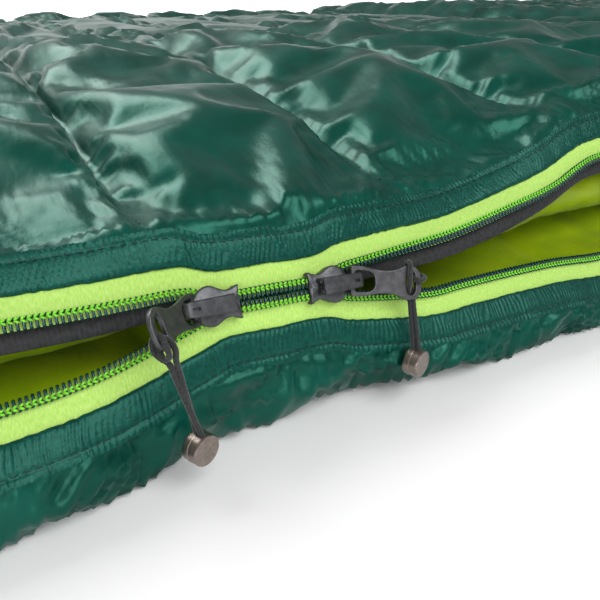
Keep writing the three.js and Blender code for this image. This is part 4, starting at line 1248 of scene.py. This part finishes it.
outline = body_outline()
sides_count = len(outline)
top_levels = [(0.30, 2.76), (0.03, 2.76), (0.0, 2.86), (0.0, 3.22), (0.03, 3.42), (0.10, 3.58), (0.34, 3.72),
              (0.60, 3.95), (0.82, 4.12), (1.0, 4.16)]
back_levels = [(0.9, -1.9), (0.25, -1.9), (0.07, -1.82), (0.015, -1.66), (0.0, -1.45), (0.0, -1.0),
               (0.03, -0.78),
               (0.30, -0.76)]


def cast_body():
    top = faceted_plate(outline, top_levels)
    notch = np.clip(1 - np.abs(top[..., 0] - 1.0) / 1.3, 0, 1) * np.clip(1 - np.abs(top[..., 1]) / 2.0, 0, 1)
    top[..., 2] -= 0.45 * notch * (top[..., 2] > 3.3)
    back = faceted_plate(outline, back_levels)
    return [(top, ring_faces(len(top_levels), sides_count)),
            (back, ring_faces(len(back_levels), sides_count)),
            flange(1), flange(-1), post()]


for side in ("left", "right"):
    points, faces = gathered_parts(cast_body())
    body = make_piece(f"{side}_slider_cast", on_body(f"{side}_slider", points), faces, slider_metal,
                      f"{side}_slider", sharp=30)
    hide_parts(f"{side}_slider_body")
print("slider bodies", len(faces), "faces each")

# %% [markdown]
# ### Bridges and locks
# The bridge is a bent bar with bevelled edges. It rises from the tail as two cheeks with the lock's spring
# between them, runs forward over the body, and turns down at the nose in front of the puller's crossbar. A
# bevelled section swept along a bent line makes it; the sight hole near its nose is cut with a Boolean.
# %% Bars that follow a bent line
def bar(line, half_width, half_depth, chamfer, middle=0.0, spread=None):
    """A chamfered bar along points (s, h); its width lies across the slider."""
    line = np.asarray(line, float)
    along = np.gradient(line, axis=0)
    along /= np.linalg.norm(along, axis=1)[:, None]
    up = np.stack([-along[:, 1], along[:, 0]], -1)
    c = chamfer
    corner = [(1, 1 - c / half_depth), (1 - c / half_width, 1), (-1 + c / half_width, 1),
              (-1, 1 - c / half_depth),
              (-1, -1 + c / half_depth), (-1 + c / half_width, -1), (1 - c / half_width, -1),
              (1, -1 + c / half_depth)]
    spread = np.ones(len(line)) if spread is None else np.asarray(spread)
    rings = [[(p[0] + half_depth * v * n[0], middle + half_width * k * u, p[1] + half_depth * v * n[1])
              for u, v in corner] for p, n, k in zip(line, up, spread)]
    return np.array(rings), ring_faces(len(line), 8)


def bend(points, count=40):
    return smooth_path(np.array([(a, 0, b) for a, b in points]), count)[:, [0, 2]]


def bridge_parts():
    over = bend([(2.75, 6.62), (4.2, 6.78), (8, 6.80), (12, 6.78), (13.9, 6.62), (14.9, 6.1), (15.25, 5.2),
                 (15.25, 4.1)])
    taper = np.interp(np.linspace(0, 1, len(over)), [0, 0.15, 0.7, 1], [1.0, 0.98, 0.86, 0.8])
    parts = [bar(over, 2.35, 0.68, 0.32, 0.0, taper)]
    for way in (1, -1):
        leg = bend([(2.95, 3.95), (2.85, 4.9), (2.95, 5.9), (3.4, 6.6)], 16)
        parts.append(bar(leg, 0.45, 0.62, 0.15, 1.88 * way))
    foot = bend([(10.2, 4.1), (10.2, 5.0), (10.2, 6.4)], 8)
    parts.append(bar(foot, 1.9, 0.9, 0.2))
    return parts


def cut(piece, low, high, place):
    """Cuts a box, given in the piece's own millimetres, out of it."""
    corners_of = np.array([(x, y, z) for x in (low[0], high[0])
                           for y in (low[1], high[1]) for z in (low[2], high[2])])
    box_faces = [(0, 1, 3, 2), (4, 6, 7, 5), (0, 4, 5, 1), (2, 3, 7, 6), (0, 2, 6, 4), (1, 5, 7, 3)]
    cutter = make_piece("cutter", on_body(place, corners_of), box_faces, slider_metal, None, smooth=False)
    modifier = piece.modifiers.new("cut", "BOOLEAN")
    modifier.operation = "DIFFERENCE"
    modifier.solver = "EXACT"
    modifier.use_self = True
    modifier.object = cutter
    done = bpy.data.meshes.new_from_object(piece.evaluated_get(bpy.context.evaluated_depsgraph_get()))
    piece.modifiers.clear()
    piece.data = done
    bpy.data.objects.remove(cutter)
    piece.data.set_sharp_from_angle(angle=math.radians(28))


for side in ("left", "right"):
    points, faces = gathered_parts(bridge_parts())
    bridge = make_piece(f"{side}_bridge_bent", on_body(f"{side}_slider", points), faces, slider_metal, None,
                        sharp=CREASE)
    cut(bridge, (12.0, -0.42, 6.3), (14.0, 0.42, 9.0), f"{side}_slider")
    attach(bridge, f"{side}_slider")
    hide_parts(f"{side}_slider_bridge")
    leaf = bend([(2.5, 5.35), (3.4, 5.5), (5.2, 5.32), (7.0, 5.2), (8.6, 5.3)], 24)
    tooth = bend([(5.7, 5.2), (5.72, 4.6), (5.75, 3.9), (5.75, 2.9)], 12)
    coil_spring = tube(np.array([(2.95 + 0.42 * math.cos(t), 0.42 * math.sin(t), 4.25 + 0.085 * t)
                                 for t in np.linspace(0, 6 * math.pi, 70)]), 0.11, 6)
    points, faces = gathered_parts([bar(leaf, 0.85, 0.24, 0.08), bar(tooth, 0.62, 0.24, 0.08), coil_spring])
    lock = make_piece(f"{side}_lock_leaf", on_body(f"{side}_slider", points), faces, spring_steel,
                      f"{side}_slider", sharp=CREASE)
    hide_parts(f"{side}_slider_lock")
print("bridges and locks made")

# %% [markdown]
# ### Pullers
# A puller is a flat casting like a bow tie: a window round the bridge's nose at one end, a waist, and an
# oval ring for the cord at the other. A filled curve takes an outline with holes and gives every edge the
# same rounding at once. It is then thinned a little at its waist, because the waist is thinner than the two
# ends.
# %% Pullers
PULLER_HALF = [(-0.62, 3.9), (-0.35, 4.25), (1.6, 4.28), (3.6, 4.12), (6.0, 3.62), (8.4, 3.28), (10.8, 3.22),
               (12.8, 3.42), (14.4, 3.95), (15.8, 4.6), (17.2, 4.95), (18.8, 4.85), (20.2, 4.15),
               (21.15, 2.9), (21.55, 1.4)]
WINDOW_HALF = [(0.62, 2.75), (0.85, 2.98), (3.6, 2.98), (5.2, 2.8), (6.3, 2.1), (6.8, 1.0)]
EYE_HALF = [(16.55, 1.6), (16.75, 2.75), (17.4, 3.5), (18.2, 3.65), (19.0, 3.3), (19.5, 2.3), (19.65, 1.1)]


def puller_mesh(name):
    curve = bpy.data.curves.new(name, "CURVE")
    curve.dimensions = "2D"
    curve.fill_mode = "BOTH"
    curve.extrude = 0.36 * MM
    curve.bevel_depth = 0.28 * MM
    curve.bevel_resolution = 2
    curve.offset = -0.28 * MM
    for half in (PULLER_HALF, WINDOW_HALF, EYE_HALF):
        line = [(a, b) for a, b in half] + [(a, -b) for a, b in half[::-1]]
        closed = np.array(line + line[:1], float)
        run = np.concatenate([[0], np.cumsum(np.linalg.norm(np.diff(closed, axis=0), axis=1))])
        at = np.linspace(0, run[-1], int(run[-1] / 0.35), endpoint=False)
        dense = np.stack([np.interp(at, run, closed[:, k]) for k in range(2)], -1)
        for _ in range(3):
            dense = 0.5 * dense + 0.25 * (np.roll(dense, 1, 0) + np.roll(dense, -1, 0))
        spline = curve.splines.new("POLY")
        spline.points.add(len(dense) - 1)
        spline.points.foreach_set("co",
                                  np.concatenate([dense * MM, np.zeros((len(dense), 1)),
                                                  np.ones((len(dense), 1))], 1).ravel())
        spline.use_cyclic_u = True
    holder = bpy.data.objects.new(name, curve)
    bpy.context.scene.collection.objects.link(holder)
    bpy.context.view_layer.update()
    mesh = bpy.data.meshes.new_from_object(holder.evaluated_get(bpy.context.evaluated_depsgraph_get()))
    bpy.data.objects.remove(holder)
    return mesh


for side in ("left", "right"):
    mesh = puller_mesh(f"{side}_puller_cast")
    points = np.array([v.co for v in mesh.vertices], float) / MM
    waist = 1 - 0.22 * np.exp(-((points[:, 0] - 10.5) / 3.4) ** 2)
    points[:, 2] *= waist
    placed_points = on_body(f"{side}_puller", points)
    mesh.vertices.foreach_set("co", placed_points.ravel())
    mesh.polygons.foreach_set("use_smooth", [True] * len(mesh.polygons))
    mesh.set_sharp_from_angle(angle=math.radians(40))
    mesh.materials.clear()
    mesh.materials.append(puller_metal)
    puller = bpy.data.objects.new(f"{side}_puller_cast", mesh)
    bpy.context.scene.collection.objects.link(puller)
    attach(puller, f"{side}_puller")
    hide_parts(f"{side}_puller")
    print(puller.name, len(mesh.polygons), "faces")

# %% [markdown]
# ## Studio
# A pale floor, a pale backdrop and surround, and three large soft lamps: one high behind that draws long
# highlights on the folds, one wide lamp over the camera, and a weak one low at the front for the underside
# of the edge. Colours are shown without a film curve, so that the lime stays lime.
# %% Floor, surround and lamps
FLOOR = bpy.data.meshes.new("floor")
FLOOR.from_pydata([(-6, -6, -0.0005), (6, -6, -0.0005), (6, 6, -0.0005), (-6, 6, -0.0005)], [],
                  [(0, 1, 2, 3)])
floor = bpy.data.objects.new("floor", FLOOR)
bpy.context.scene.collection.objects.link(floor)
floor_paint = new_finish("floor_paint", (0.86, 0.86, 0.86), 0.9, specular=0.1)
FLOOR.materials.append(floor_paint)
floor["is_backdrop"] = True
BACKDROP = bpy.data.meshes.new("backdrop")
BACKDROP.from_pydata([(-6, 1.6, -0.0005), (6, 1.6, -0.0005), (6, 1.6, 0.5), (-6, 1.6, 0.5)], [],
                     [(0, 1, 2, 3)])
backdrop = bpy.data.objects.new("backdrop", BACKDROP)
bpy.context.scene.collection.objects.link(backdrop)
backdrop_white = new_finish("backdrop_white", (0.9, 0.9, 0.9), 0.9, specular=0.1)
backdrop_white.node_tree.nodes["Principled BSDF"].inputs["Emission Color"].default_value = (1, 1, 1, 1)
backdrop_white.node_tree.nodes["Principled BSDF"].inputs["Emission Strength"].default_value = 0.75
BACKDROP.materials.append(backdrop_white)
backdrop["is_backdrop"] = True
world = bpy.data.worlds.new("studio")
bpy.context.scene.world = world
world.use_nodes = True
world.node_tree.nodes["Background"].inputs["Color"].default_value = (1, 1, 1, 1)
world.node_tree.nodes["Background"].inputs["Strength"].default_value = 0.3


def lamp(name, place, aim, size, power):
    data = bpy.data.lights.new(name, "AREA")
    data.shape = "RECTANGLE"
    data.size, data.size_y = size
    data.energy = power
    holder = bpy.data.objects.new(name, data)
    bpy.context.scene.collection.objects.link(holder)
    holder.location = place
    holder.rotation_mode = "QUATERNION"
    holder.rotation_quaternion = (Vector(aim) - Vector(place)).to_track_quat("-Z", "Y")


lamp("high_back", (-0.5, 0.9, 1.5), (0.0, -0.35, 0.05), (1.4, 0.9), 28)
lamp("over_camera", (0.25, -1.3, 1.1), (0.0, -0.35, 0.05), (1.2, 0.8), 16)
lamp("low_front", (-0.7, -1.3, 0.35), (0.0, -0.38, 0.03), (0.8, 0.4), 5)
bpy.context.scene.view_settings.view_transform = "Standard"
print("studio ready")

low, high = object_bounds()
